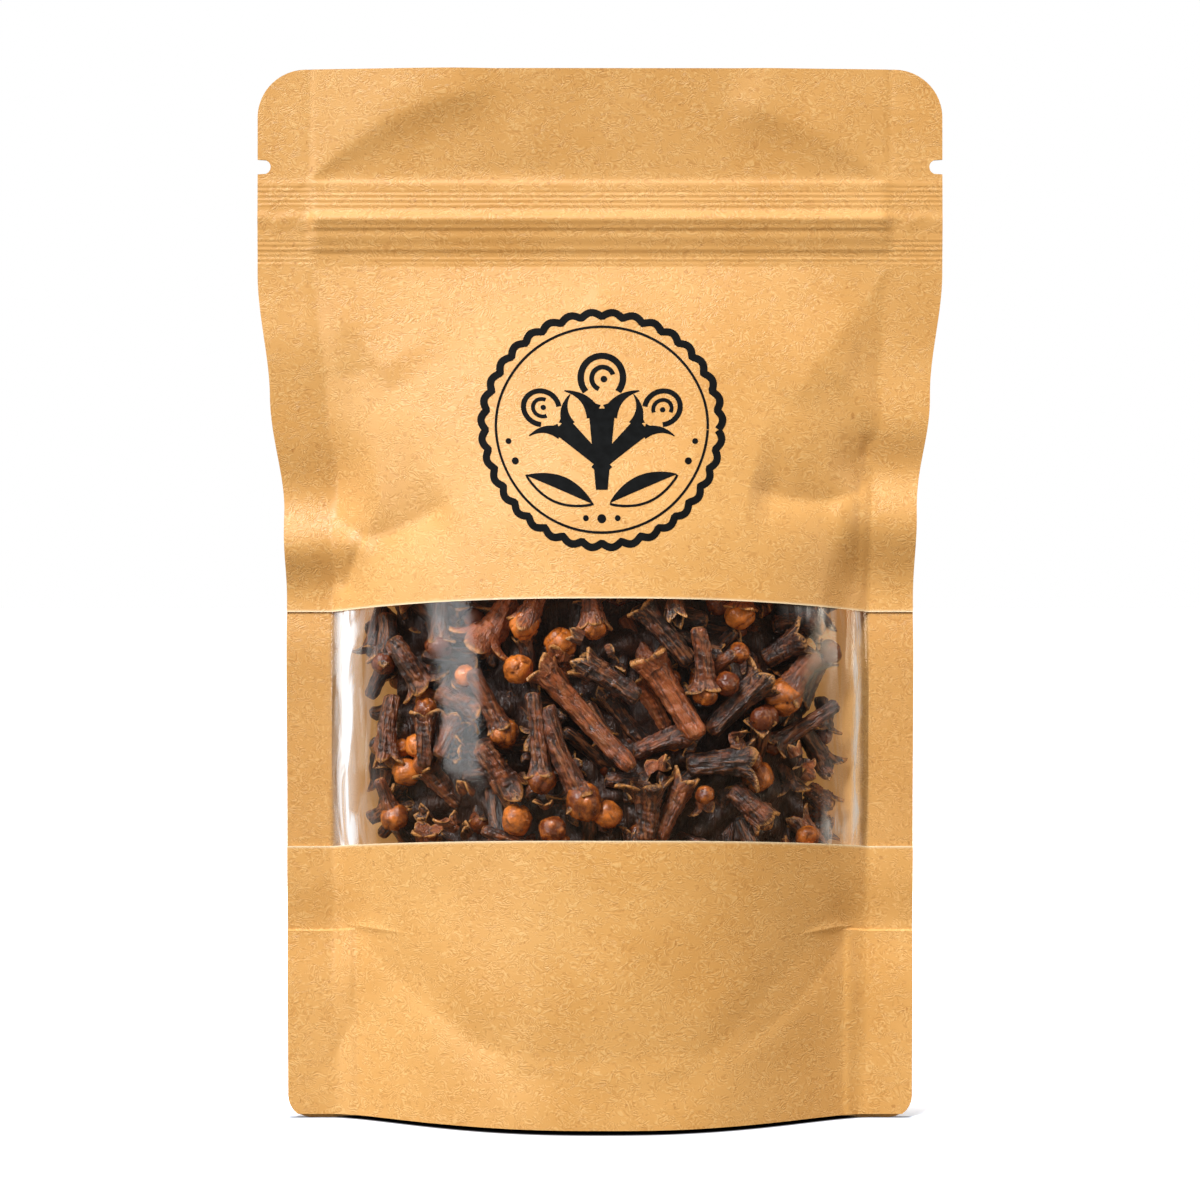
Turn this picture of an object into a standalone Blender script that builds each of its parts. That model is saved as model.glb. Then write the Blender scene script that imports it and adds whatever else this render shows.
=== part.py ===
"""A kraft paper stand-up pouch with a clear window, filled with whole cloves.

The pouch is worked out from its flat pattern. A point of a panel has a place u across the
flat pouch, from the middle, and a height v up from its bottom edge. The panel functions turn
(u, v) into a place in space: the filled belly swells, the edges draw in, and the heat seals,
the zip, the gusset and the dents are relief on that belly.
X runs to the right, Z up, and the front of the pouch faces -Y. The origin is the middle of
the base.
"""

import math
import random

import bmesh
import bpy
import numpy as np

MM = 0.001

# The flat pouch, in metres
WIDTH = 110 * MM
HEIGHT = 170 * MM
HALF_WIDTH = WIDTH / 2
SEAL_WIDTH = 8 * MM
SEAL_LINE = HALF_WIDTH - SEAL_WIDTH
TOP_CORNER = 7.8 * MM
LOW_CORNER = 3.8 * MM
GUSSET = 30.5 * MM
NOTCH_HEIGHT = 154.2 * MM
NOTCH_DEPTH = 2.1 * MM
NOTCH_HALF = 1.2 * MM

# The walls: two layers pressed together at the side seals, one elsewhere
FIN_HALF = 0.5 * MM
WALL = 0.6 * MM
SKIRT = 1.2 * MM
GAP = 0.3 * MM

# The filled shape
FULL_DEPTH = 18 * MM
BASE_TUCK = 1 * MM
BELLY_POWER = 2.4
ZIP_FOOT = 138 * MM
ZIP_HEAD = 151.5 * MM
RISE = 90 * MM
STANDING_HEIGHT = 168.3 * MM
MIDDLE_LIFT = 2.2 * MM
HEADER_SWELL = 1.1 * MM

# The gusset's seal, lowest in the middle and rising to the side seals
SEAL_LOW = 9 * MM
SEAL_FLAT = 14 * MM
SEAL_SIDE = 42 * MM
CREST_LOW = 5 * MM

# The window
WINDOW_LOW = 44 * MM
WINDOW_HIGH = 82 * MM
WINDOW_HALF = 46.2 * MM
FILM = 0.3 * MM
FILM_BEHIND = 1.0 * MM
FILM_LAP = 2 * MM
FILM_HALF = 45.4 * MM

# The cloves
HEAP_HALF = 37 * MM
HEAP_TOP = 104 * MM
CORE_DEPTH = 4.6 * MM
CLOVE_LENGTHS = (9.5 * MM, 12.5 * MM)
CLOVE_GIRTHS = (1.35 * MM, 1.75 * MM)
CLOVES_MOST = 58
CLOVE_SEED = 6
FILM_CLEARANCE = 0.5 * MM

# Columns, from the middle out to the edge, and rows, from the bottom up, that every surface
# of the pouch shares, in mm. They lie closer where the relief is finer.
COLUMNS = (0, 6, 12, 18, 24, 30, 36, 41.5, 45, 47, 51, 55)
ROWS = (
    0, 4, 9, 14, 19, 24.5, 30.5, 37, 44, 49, 54.5, 60, 66, 72, 77, 82, 86, 90, 94, 98, 102, 106,
    110, 115, 121, 127, 131, 136.8, 139.6, 141.2, 142.1, 143.8, 145.5, 151, 151.7, 156, 161,
    166, 170,
)

# How far the side edges are drawn in, at heights up the flat pouch
DRAWN_IN = ((0, 4.9), (44, 4.7), (84, 4.6), (98, 4.2), (117, 2.0), (137, 0), (170, 0))

# The zip's relief: its foot, the lower flange, the bead, the ribbed upper flange and its edge
ZIP_RELIEF = (
    (135.5, 0), (138, 0.15), (141.2, 1.1), (142.1, 0.9), (143.8, 1.9),
    (145.5, 0.9), (151, 0.7), (151.7, 0.1), (154, 0),
)

# Cone-shaped dents of the front: apex u and v, the way the cone opens in degrees
# (0 to the right, 90 up), its half angle, its slope and its reach, in mm.
FRONT_DENTS = (
    (-46.5, 137, -62, 16, 0.20, 24),
    (46.3, 137, -112, 15, 0.26, 30),
    (-37, 121, 140, 34, 0.16, 15),
    (-25.5, 98, 176, 19, 0.19, 24),
    (-40.4, 93.5, 210, 28, 0.26, 12),
    (27, 100.5, 4, 20, 0.17, 22),
    (46, 108.5, -20, 26, 0.30, 9),
    (44.3, 101, 150, 14, 0.16, 20),
    (-43.5, 30.5, -38, 20, 0.07, 36),
    (44, 30.5, 218, 20, 0.07, 36),
    (-46.5, 151.5, 33, 17, 0.09, 26),
    (46.5, 151.5, 147, 17, 0.09, 26),
)
BACK_DENTS = (
    (-46.5, 137, -60, 17, 0.18, 26),
    (46.5, 137, -118, 16, 0.20, 26),
    (-42, 96, 20, 22, 0.16, 20),
    (41, 104, 160, 24, 0.16, 22),
)

# Waves of the side seals: height v, half length along the edge, and how far the edge bends
LEFT_WAVES = ((101, 9, 1.2), (93, 6, -1.0), (86, 6, 0.9), (120, 11, 0.5), (30, 5, 0.5))
RIGHT_WAVES = ((108, 8, 1.1), (97, 7, -1.0), (87, 7, 0.9), (125, 10, 0.4), (30, 5, 0.5))


def smooth(t):
    """0 below 0, 1 above 1, and an even S between."""
    t = np.clip(t, 0.0, 1.0)
    return t * t * (3 - 2 * t)


def through(points, v):
    """A smooth line through (height, value) points, both in mm."""
    v = np.asarray(v, float)
    heights = np.array([p[0] for p in points]) * MM
    values = np.array([p[1] for p in points]) * MM
    at = np.clip(np.searchsorted(heights, v, side="right") - 1, 0, len(heights) - 2)
    t = (v - heights[at]) / (heights[at + 1] - heights[at])
    return values[at] + (values[at + 1] - values[at]) * smooth(t)


def half_depth(v):
    """How far the middle of the belly stands out at a height."""
    filled = np.sin(0.5 * math.pi * np.clip((ZIP_FOOT - v) / RISE, 0, 1))
    return FULL_DEPTH * filled - BASE_TUCK * smooth(1 - v / GUSSET)


def belly(u):
    """1 in the middle of the pouch and 0 at the side seals."""
    return 1 - np.clip(np.abs(u) / SEAL_LINE, 0, 1) ** BELLY_POWER


def gusset_seal(u):
    """Height of the seal that joins the gusset to a panel."""
    rise = np.clip((np.abs(u) - SEAL_FLAT) / (SEAL_SIDE - SEAL_FLAT), 0, 1)
    return SEAL_LOW + (GUSSET - SEAL_LOW) * (0.35 * smooth(rise) + 0.65 * rise)


def dents(u, v, listed):
    """Cones pressed into the paper: a slope that grows from an apex and fades at its reach."""
    total = np.zeros(np.broadcast(u, v).shape)
    for apex_u, apex_v, way, half_angle, slope, reach in listed:
        du = u - apex_u * MM
        dv = v - apex_v * MM
        distance = np.hypot(du, dv) / (reach * MM)
        turn = np.arctan2(dv, du) - math.radians(way)
        turn = (turn + math.pi) % (2 * math.pi) - math.pi
        across = smooth(1 - np.abs(turn) / math.radians(half_angle))
        along = distance * smooth(1.6 * (1 - distance))
        total = total + slope * reach * MM * across * along
    return total


def seal_groove(u, v):
    """The shallow valley along the gusset's seal."""
    off = (v - gusset_seal(u)) / (4.5 * MM)
    return 0.45 * MM * np.exp(-(off**2)) * belly(u)


def fin_bend(u, v):
    """Waves of the side seals, shared by the front and the back."""
    left = sum(d * np.exp(-(((v / MM - h) / r) ** 2)) for h, r, d in LEFT_WAVES)
    right = sum(d * np.exp(-(((v / MM - h) / r) ** 2)) for h, r, d in RIGHT_WAVES)
    reach = smooth((np.abs(u) - 38 * MM) / (HALF_WIDTH - 38 * MM))
    return MM * reach * np.where(u < 0, left, right)


def panel_depth(u, v, listed):
    """How far a panel's outer face stands from the middle plane."""
    inside = smooth((SEAL_LINE + 0.6 * MM - np.abs(u)) / (2.4 * MM))
    header = np.clip((v - ZIP_HEAD) / (HEIGHT - ZIP_HEAD), 0, 1)
    swell = HEADER_SWELL * np.sin(math.pi * 0.62 * header) * belly(u)
    depth = half_depth(v) * belly(u) + inside * through(ZIP_RELIEF, v) + swell
    pressed = dents(u, v, listed) + seal_groove(u, v)
    return FIN_HALF + np.maximum(depth - pressed * inside, 0)


def place(u, v, depth):
    """(u, v) of the flat pouch and a signed depth, put in space."""
    drawn = through(DRAWN_IN, v)
    x = u * (1 - drawn / HALF_WIDTH)
    lifted = smooth((ZIP_FOOT - v) / (ZIP_FOOT - WINDOW_HIGH)) * smooth(v / WINDOW_LOW)
    z = v * STANDING_HEIGHT / HEIGHT + MIDDLE_LIFT * lifted * belly(u)
    y = depth + fin_bend(u, v)
    return np.stack(np.broadcast_arrays(x, y, z), axis=-1)


def front(u, v, inwards=0.0):
    return place(u, v, inwards - panel_depth(u, v, FRONT_DENTS))


def back(u, v, inwards=0.0):
    return place(u, v, panel_depth(u, v, BACK_DENTS) - inwards)


def material(name, colour, roughness, alpha=1.0):
    made = bpy.data.materials.new(name)
    made.use_nodes = True
    shader = made.node_tree.nodes["Principled BSDF"]
    shader.inputs["Base Color"].default_value = (*colour, 1)
    shader.inputs["Roughness"].default_value = roughness
    shader.inputs["Metallic"].default_value = 0
    shader.inputs["Alpha"].default_value = alpha
    made.diffuse_color = (*colour, alpha)
    return made


def mesh_object(name, points, faces):
    mesh = bpy.data.meshes.new(name)
    mesh.from_pydata([tuple(p) for p in points], [], faces)
    mesh.validate()
    made = bpy.data.objects.new(name, mesh)
    bpy.context.scene.collection.objects.link(made)
    return made


def ring_solid(name, rings):
    """A closed solid from rings [rows, columns, 3]. Row r runs across the solid, the rows go
    once round it, and row r faces row rows-1-r at each end."""
    rows, columns = rings.shape[:2]
    faces = []
    for r in range(rows):
        after = (r + 1) % rows
        for c in range(columns - 1):
            faces.append((r * columns + c, after * columns + c,
                          after * columns + c + 1, r * columns + c + 1))
    for column, flip in ((0, False), (columns - 1, True)):
        for r in range(rows // 2 - 1):
            quad = [r, r + 1, rows - 2 - r, rows - 1 - r]
            quad = [k * columns + column for k in quad]
            faces.append(tuple(quad if flip else quad[::-1]))
    made = mesh_object(name, rings.reshape(-1, 3), faces)
    point_outwards(made)
    return made


def point_outwards(made):
    """Turns the faces round if the mesh is inside out."""
    mesh = made.data
    mesh.calc_loop_triangles()
    points = np.array([v.co for v in mesh.vertices])
    corners = points[np.array([t.vertices for t in mesh.loop_triangles])]
    if np.linalg.det(corners).sum() < 0:
        mesh.flip_normals()


def helper(made):
    made.hide_render = True
    made.display_type = "WIRE"
    return made


def cut(made, cutter):
    modifier = made.modifiers.new("cut_" + cutter.name, "BOOLEAN")
    modifier.operation = "DIFFERENCE"
    modifier.solver = "EXACT"
    modifier.object = cutter


def prism(name, outline, depth):
    """An outline of (x, z) points carried from y = -depth to y = depth."""
    count = len(outline)
    points = [(x, y, z) for y in (-depth, depth) for x, z in outline]
    faces = [tuple(range(count)), tuple(range(2 * count - 1, count - 1, -1))]
    for k in range(count):
        beside = (k + 1) % count
        faces.append((k, k + count, beside + count, beside))
    made = mesh_object(name, points, faces)
    point_outwards(made)
    return helper(made)


def corner_cutter(name, side, x, z, radius, up):
    """What lies outside a round corner whose sharp corner would be at x and z."""
    arc = np.radians(np.linspace(0, 90, 7))
    centre = (x - radius, z - up * radius)
    outline = [(centre[0] + radius * math.cos(a), centre[1] + up * radius * math.sin(a)) for a in arc]
    outline += [(centre[0], z + up * MM), (x + MM, z + up * MM), (x + MM, centre[1])]
    return prism(name, [(side * a, b) for a, b in outline], 6 * MM)


def notch_cutter(name, side):
    """A tear notch: a flat slot with a round end."""
    z = NOTCH_HEIGHT * STANDING_HEIGHT / HEIGHT
    end = HALF_WIDTH - NOTCH_DEPTH + NOTCH_HALF
    arc = np.radians(np.linspace(90, 270, 6))
    outline = [(end + NOTCH_HALF * math.cos(a), z + NOTCH_HALF * math.sin(a)) for a in arc]
    outline += [(HALF_WIDTH + MM, z - NOTCH_HALF), (HALF_WIDTH + MM, z + NOTCH_HALF)]
    return prism(name, [(side * a, b) for a, b in outline], 4 * MM)


def columns(half):
    """The shared columns as far as half the width, and that end itself."""
    inner = [c * MM for c in COLUMNS if c * MM < half - 0.1 * MM]
    right = np.array(inner + [half])
    return np.concatenate([-right[:0:-1], right])


def rows(low, high):
    """The shared rows from low to high, as a column of heights."""
    inner = [r * MM for r in ROWS if low < r * MM < high]
    return np.array([low] + inner + [high])[:, None]


def pouch_body():
    """Both panels with the seals and the header, one solid that ends level on the floor."""
    u, v = columns(HALF_WIDTH), rows(0, HEIGHT)
    return ring_solid("pouch", np.concatenate([front(u, v)[::-1], back(u, v)]))


def hollow():
    """The space inside, between the gusset and a line below the zip."""
    u = columns(46.3 * MM)
    low = gusset_seal(u) + SKIRT
    slanted = low + np.linspace(0, 1, 6)[:-1, None] * (WINDOW_LOW - low)
    level = rows(WINDOW_LOW, 131 * MM)
    v = np.concatenate([slanted, level + 0 * u])
    front_rows = front(u, v, WALL)
    front_rows[..., 1] = np.minimum(front_rows[..., 1], fin_bend(u, v) - 0.12 * MM)
    back_rows = back(u, v, WALL)
    back_rows[..., 1] = np.maximum(back_rows[..., 1], fin_bend(u, v) + 0.12 * MM)
    q = np.linspace(-1, 1, 10)[1:-1, None]
    floor = front_rows[:1] * (1 - q[..., None]) / 2 + back_rows[:1] * (1 + q[..., None]) / 2
    floor[..., 2] += gusset_arch(u, q)
    rings = np.concatenate([front_rows[::-1], floor, back_rows])
    return helper(ring_solid("hollow", rings))


def gusset_crest(u):
    """Height of the gusset along its fold, pushed down in the middle by the cloves."""
    return CREST_LOW + (GUSSET - CREST_LOW) * smooth(np.abs(u) / SEAL_SIDE)


def gusset_arch(u, q):
    """How far the gusset stands over its seals, q running from the front seal to the back."""
    return (gusset_crest(u) - gusset_seal(u) + 0.5 * MM) * (1 - q**2)


def under_recess():
    """The space below the gusset, between the two skirts that the pouch stands on."""
    u = columns(44.5 * MM)
    v = np.linspace(0, 1, 4)[:, None] * gusset_seal(u)
    front_rows = front(u, v, SKIRT)
    back_rows = back(u, v, SKIRT)
    for rows, side in ((front_rows, -1), (back_rows, 1)):
        rows[..., 1] = side * np.maximum(side * rows[..., 1], 0.1 * MM)
    below = np.array([0, 0, -4 * MM])
    q = np.linspace(-1, 1, 10)[1:-1, None]
    ceiling = front_rows[-1:] * (1 - q[..., None]) / 2 + back_rows[-1:] * (1 + q[..., None]) / 2
    ceiling[..., 2] += gusset_arch(u, q)
    rings = np.concatenate([
        front_rows[:1] + below, front_rows, ceiling, back_rows[::-1], back_rows[:1] + below,
    ])
    return helper(ring_solid("under_recess", rings))


def window_cutter():
    """Cuts the window through the front wall alone."""
    u, v = columns(WINDOW_HALF), rows(WINDOW_LOW, WINDOW_HIGH)
    outer = front(u, v, -4 * MM)
    inner = front(u, v, WALL + 0.45 * MM)
    inner[..., 1] = np.minimum(inner[..., 1], 0.25 * MM)
    return helper(ring_solid("window_cutter", np.concatenate([outer[::-1], inner])))


def film():
    """The clear strip, laid behind the paper and lapping it above and below."""
    u, v = columns(FILM_HALF), rows(WINDOW_LOW - FILM_LAP, WINDOW_HIGH + FILM_LAP)
    outer = front(u, v, FILM_BEHIND)
    inner = front(u, v, FILM_BEHIND + FILM)
    return ring_solid("window_film", np.concatenate([outer[::-1], inner]))


def flat_place(x, z):
    """The (u, v) of the flat pouch that lies at x and z."""
    v = z * HEIGHT / STANDING_HEIGHT
    u = x
    for _ in range(3):
        u = x / (1 - through(DRAWN_IN, v) / HALF_WIDTH)
        lifted = smooth((ZIP_FOOT - v) / (ZIP_FOOT - WINDOW_HIGH)) * smooth(v / WINDOW_LOW)
        v = (z - MIDDLE_LIFT * lifted * belly(u)) * HEIGHT / STANDING_HEIGHT
    return u, v


def film_back(x, z):
    """Y of the film's inner face."""
    u, v = flat_place(x, z)
    return front(u, v, FILM_BEHIND + FILM)[..., 1]


def back_inside(x, z):
    """Y of the back panel's inner face."""
    u, v = flat_place(x, z)
    return back(u, v, WALL)[..., 1]


def heap_core():
    """The heap of cloves as one mass, a few millimetres smaller than the space it fills."""
    u = columns(HEAP_HALF)
    t = np.linspace(0, 1, 9)[:, None]
    low = np.maximum(gusset_seal(u), gusset_crest(u)) + 2.5 * MM
    top = HEAP_TOP - 9 * MM * (np.abs(u) / HEAP_HALF) ** 2
    v = low + t * (top - low)
    uneven = 0.5 * MM * np.sin(u / MM * 0.83 + 1) * np.sin(v / MM * 0.71)
    front_rows = front(u, v, FILM_BEHIND + FILM + CORE_DEPTH)
    front_rows[..., 1] += uneven
    back_rows = back(u, v, WALL + 3 * GAP)
    return ring_solid("cloves", np.concatenate([front_rows[::-1], back_rows]))


def clove_solid(length, girth, has_bud):
    """A clove about its middle, pointing up: the stem, the calyx with its four pointed lobes
    and, on most, the round bud. Each ring is (radius, lobe reach, height) in girths."""
    top = 0.5 * length / girth
    profile = [(0.68, 0, -top), (1.25, 0, top - 0.4), (1.15, 1.1, top + 0.7)]
    if has_bud:
        profile += [(0.95, 0, top + 0.3), (1.55, 0, top + 1.4), (1.1, 0, top + 2.6)]
        end = top + 3.0
    else:
        profile += [(0.7, 0, top - 0.1)]
        end = top + 0.4
    points = [(0, 0, -top * girth)]
    for radius, reach, height in profile:
        for k in range(8):
            angle = math.pi / 4 * k
            lobe = reach * (k % 2)
            drop = 0.8 * (reach > 0) * (1 - k % 2)
            points.append(((radius + lobe) * girth * math.cos(angle),
                           (radius + lobe) * girth * math.sin(angle), (height - drop) * girth))
    points.append((0, 0, end * girth))
    faces = []
    last = len(points) - 1
    for k in range(8):
        beside = (k + 1) % 8
        faces.append((0, 1 + beside, 1 + k))
        faces.append((last, last - 8 + k, last - 8 + beside))
        for r in range(len(profile) - 1):
            low = 1 + r * 8
            faces.append((low + k, low + beside, low + 8 + beside, low + 8 + k))
    return points, faces


def lay_clove(index, x, z, turn, tip, length, girth, has_bud, sink):
    """One clove against the film, as points and faces, or nothing where it doesn't fit.

    turn is its direction across the window, tip how far its bud end leans to the film, and
    sink how far behind the film it lies.
    """
    shape, faces = clove_solid(length, girth, has_bud)
    across, lean = math.radians(turn), math.radians(tip)
    axis = np.array([math.cos(across) * math.cos(lean), -math.sin(lean),
                     math.sin(across) * math.cos(lean)])
    side = np.cross(axis, (0, 1, 0))
    side /= np.linalg.norm(side)
    other = np.cross(axis, side)
    spin = index * 0.7
    side, other = (side * math.cos(spin) + other * math.sin(spin),
                   other * math.cos(spin) - side * math.sin(spin))
    frame = np.stack([side, other, axis])
    points = np.array(shape) @ frame + np.array([x, 0, z])
    forward = film_back(points[:, 0], points[:, 2]) + FILM_CLEARANCE + sink - points[:, 1]
    points[:, 1] += forward.max()
    room = back_inside(points[:, 0], points[:, 2]) - points[:, 1]
    if room.min() < 2 * GAP:
        return []
    return [(points, faces)]


# The cloves that stand out in the window: x and z of the middle, the direction of the bud
# end in degrees, its lean to the film, the stem's length, its girth, and whether it has a bud
LEADING_CLOVES = (
    (-2.0, 64.1, 134, 4, 19.0, 1.7, False),
    (-10.0, 62.6, 276, 6, 11.9, 1.45, True),
    (-5.6, 60.0, 289, 5, 13.9, 1.75, True),
    (-18.2, 68.0, 296, 8, 9.6, 1.5, True),
    (11.9, 67.4, 122, 6, 14.6, 1.9, False),
    (5.8, 76.9, 121, 2, 8.5, 1.3, False),
    (16.1, 74.5, 272, 4, 9.8, 1.4, True),
    (21.3, 66.3, 225, 0, 11.6, 1.6, False),
    (31.0, 69.0, 222, 8, 9.5, 1.9, True),
    (33.1, 63.7, 214, -4, 11.2, 1.25, False),
    (18.6, 57.5, 3, 4, 10.0, 1.6, False),
    (7.6, 58.8, 342, 4, 8.0, 1.5, True),
    (7.4, 48.9, 90, 8, 8.5, 1.6, False),
    (10.9, 49.2, 66, 8, 9.0, 1.4, False),
    (1.1, 70.6, 328, 2, 11.5, 1.5, False),
    (-16.2, 56.7, 294, 6, 8.5, 1.6, False),
    (-16.7, 79.4, 57, 4, 9.0, 1.6, False),
    (-25.6, 76.6, 303, 2, 11.0, 1.5, True),
    (-27.0, 60.0, 96, 2, 11.0, 1.5, True),
    (-0.5, 44.0, 60, 8, 10.0, 1.5, True),
    (24.5, 84.0, 230, 4, 10.0, 1.6, True),
    (27.5, 52.0, 150, 4, 11.0, 1.5, True),
)


def clove_pieces():
    """The leading cloves, then a seeded scatter, the largest first, that fills between them."""
    draw = random.Random(CLOVE_SEED)
    taken, pieces = [], []
    for k, (x, z, turn, tip, length, girth, has_bud) in enumerate(LEADING_CLOVES):
        laid = lay_clove(k, x * MM, z * MM, turn, tip, length * MM, girth * MM, has_bud, 0.0)
        pieces += laid
        taken.append((x, z))
    spacings = [7.2] * 260 + [5.6] * 260 + [4.6] * 400
    for k, spacing in enumerate(spacings):
        x, z = draw.uniform(-41, 40), draw.uniform(43, 85)
        turn, tip, spread = draw.uniform(0, 360), draw.uniform(-14, 22), draw.random()
        has_bud, sink = draw.random() < 0.6, draw.uniform(0.4, 1.9) * MM
        near = min(math.hypot(x - a, z - b) for a, b in taken)
        if near < spacing or len(taken) >= CLOVES_MOST:
            continue
        length = CLOVE_LENGTHS[1] + (CLOVE_LENGTHS[0] - CLOVE_LENGTHS[1]) * spread
        girth = CLOVE_GIRTHS[1] + (CLOVE_GIRTHS[0] - CLOVE_GIRTHS[1]) * spread
        laid = lay_clove(k, x * MM, z * MM, turn, tip, length, girth, has_bud, sink)
        if laid:
            pieces += laid
            taken.append((x, z))
    return pieces


def part_shared_edge(shape, edge):
    """Where four triangles meet on one edge, the flattest pair of them gets a point of its own
    beside the middle of the edge, so that no edge has more than two faces."""
    faces = list(edge.link_faces)
    pairs = [(one.normal.dot(other.normal), j, k) for j, one in enumerate(faces)
             for k, other in enumerate(faces) if j < k]
    _, j, k = max(pairs)
    tips = [next(v for v in faces[n].verts if v not in edge.verts) for n in (j, k)]
    middle = (edge.verts[0].co + edge.verts[1].co) / 2
    point = shape.verts.new(middle.lerp(tips[0].co, 0.1))
    halves = []
    for face, tip in zip((faces[j], faces[k]), tips):
        round_it = list(face.verts)
        at = round_it.index(tip)
        start, end = round_it[(at + 1) % 3], round_it[(at + 2) % 3]
        halves += [(start, point, tip), (point, end, tip)]
    bmesh.ops.delete(shape, geom=[faces[j], faces[k]], context="FACES_ONLY")
    for half in halves:
        shape.faces.new(half)


def largest_shell(mesh):
    """Keeps the outer skin alone: hollows that the union sealed are filled, scraps dropped."""
    shape = bmesh.new()
    shape.from_mesh(mesh)
    bmesh.ops.triangulate(shape, faces=shape.faces)
    shape.normal_update()
    for edge in [e for e in shape.edges if len(e.link_faces) > 2]:
        part_shared_edge(shape, edge)
    left, shells = set(shape.faces), []
    while left:
        shell, edge = set(), [left.pop()]
        while edge:
            face = edge.pop()
            shell.add(face)
            beside = {f for e in face.edges for f in e.link_faces} & left
            left -= beside
            edge.extend(beside)
        volume = sum(f.verts[0].co.dot(f.verts[1].co.cross(f.verts[2].co)) for f in shell) / 6
        shells.append((volume, shell))
    outer = max(shells, key=lambda pair: pair[0])[1]
    spare = [f for f in shape.faces if f not in outer]
    bmesh.ops.delete(shape, geom=spare, context="FACES")
    shape.to_mesh(mesh)
    shape.free()


def heap():
    """The core with its cloves joined on by one Boolean union."""
    core = heap_core()
    pieces = bpy.data.collections.new("clove_pieces")
    bpy.context.scene.collection.children.link(pieces)
    for k, (points, faces) in enumerate(clove_pieces()):
        piece = mesh_object(f"piece_{k}", points, faces)
        point_outwards(piece)
        bpy.context.scene.collection.objects.unlink(piece)
        pieces.objects.link(piece)
    union = core.modifiers.new("join", "BOOLEAN")
    union.operation = "UNION"
    union.operand_type = "COLLECTION"
    union.collection = pieces
    union.solver = "MANIFOLD"
    graph = bpy.context.evaluated_depsgraph_get()
    joined = bpy.data.meshes.new_from_object(core.evaluated_get(graph))
    largest_shell(joined)
    core.modifiers.clear()
    core.data = joined
    joined.materials.clear()
    for piece in list(pieces.objects):
        bpy.data.objects.remove(piece)
    bpy.data.collections.remove(pieces)
    return core


def build():
    for old in list(bpy.data.objects):
        bpy.data.objects.remove(old)
    kraft = material("kraft_paper", (0.78, 0.52, 0.25), 0.75)
    clear = material("clear_film", (0.9, 0.93, 0.95), 0.08, 0.3)
    clove = material("clove", (0.16, 0.06, 0.03), 0.5)

    pouch = pouch_body()
    for cutter in (hollow(), under_recess(), window_cutter()):
        cut(pouch, cutter)
    foot = HALF_WIDTH - DRAWN_IN[0][1] * MM
    for side, word in ((-1, "left"), (1, "right")):
        cut(pouch, corner_cutter(word + "_top", side, HALF_WIDTH, STANDING_HEIGHT, TOP_CORNER, 1))
        cut(pouch, corner_cutter(word + "_foot", side, foot, 0, LOW_CORNER, -1))
        cut(pouch, notch_cutter(word + "_notch", side))
    pouch.data.materials.append(kraft)

    window = film()
    window.data.materials.append(clear)
    window.data.shade_smooth()

    cloves = heap()
    cloves.data.materials.append(clove)


build()
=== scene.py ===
# %% [markdown]
# # A stand-up pouch of whole cloves
#
# A kraft paper pouch with a zip, a clear strip for a window, and whole cloves behind it. Every
# surface here is a function of two numbers, worked out with numpy on a grid. The paper is a
# flat pattern: u runs across it and v up it, and a few functions put each (u, v) in space.
# This first cell loads the plain solid model that the fine surfaces are fitted to.

# %% Load the frame
import math

import bpy
import numpy as np
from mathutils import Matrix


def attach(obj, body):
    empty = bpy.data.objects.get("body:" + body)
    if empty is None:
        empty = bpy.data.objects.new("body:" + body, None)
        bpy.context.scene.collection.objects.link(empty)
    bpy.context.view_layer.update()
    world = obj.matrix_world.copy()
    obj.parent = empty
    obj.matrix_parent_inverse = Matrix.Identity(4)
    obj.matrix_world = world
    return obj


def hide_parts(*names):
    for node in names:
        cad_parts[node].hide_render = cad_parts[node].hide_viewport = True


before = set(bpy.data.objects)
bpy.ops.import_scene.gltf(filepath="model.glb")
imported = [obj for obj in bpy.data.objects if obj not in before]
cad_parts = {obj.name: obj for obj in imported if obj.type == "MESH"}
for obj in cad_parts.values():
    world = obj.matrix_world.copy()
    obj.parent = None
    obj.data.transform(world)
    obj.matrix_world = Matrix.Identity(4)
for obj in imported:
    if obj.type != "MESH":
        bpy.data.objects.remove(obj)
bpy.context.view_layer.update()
MM = 0.001

# %% [markdown]
# ## Camera, floor and light
#
# The picture is taken level, from straight in front, with a long lens. The floor and the
# surroundings look white. Most light comes from a large soft box high on the left; a tall
# narrow box lower on the left is what the curved film mirrors as one pale upright band.
# Area lights were chosen because their soft edges show in that reflection.

# %% Camera
camera_data = bpy.data.cameras.new("camera")
camera_data.lens = 96.5
camera_data.sensor_width = 36
camera = bpy.data.objects.new("camera", camera_data)
camera.location = (0, -0.517, 0.0831)
camera.rotation_euler = (math.radians(90), 0, 0)
bpy.context.scene.collection.objects.link(camera)
bpy.context.scene.camera = camera
bpy.context.scene.view_settings.view_transform = "Standard"


# %% Soft boxes
def soft_box(name, azimuth, elevation, distance, size, power, colour=(1, 1, 1)):
    """A rectangle of light aimed at the pouch. Azimuth 0 is in front, 90 on the right."""
    side, up = math.radians(azimuth), math.radians(elevation)
    way = np.array([math.sin(side) * math.cos(up), -math.cos(side) * math.cos(up), math.sin(up)])
    data = bpy.data.lights.new(name, "AREA")
    data.shape = "RECTANGLE"
    data.size, data.size_y = size
    data.energy = power
    data.color = colour
    box = bpy.data.objects.new(name, data)
    box.location = way * distance + (0, 0, 0.08)
    box.rotation_euler = (math.radians(90) - up, 0, side)
    box.visible_camera = False
    bpy.context.scene.collection.objects.link(box)
    return box


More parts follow.
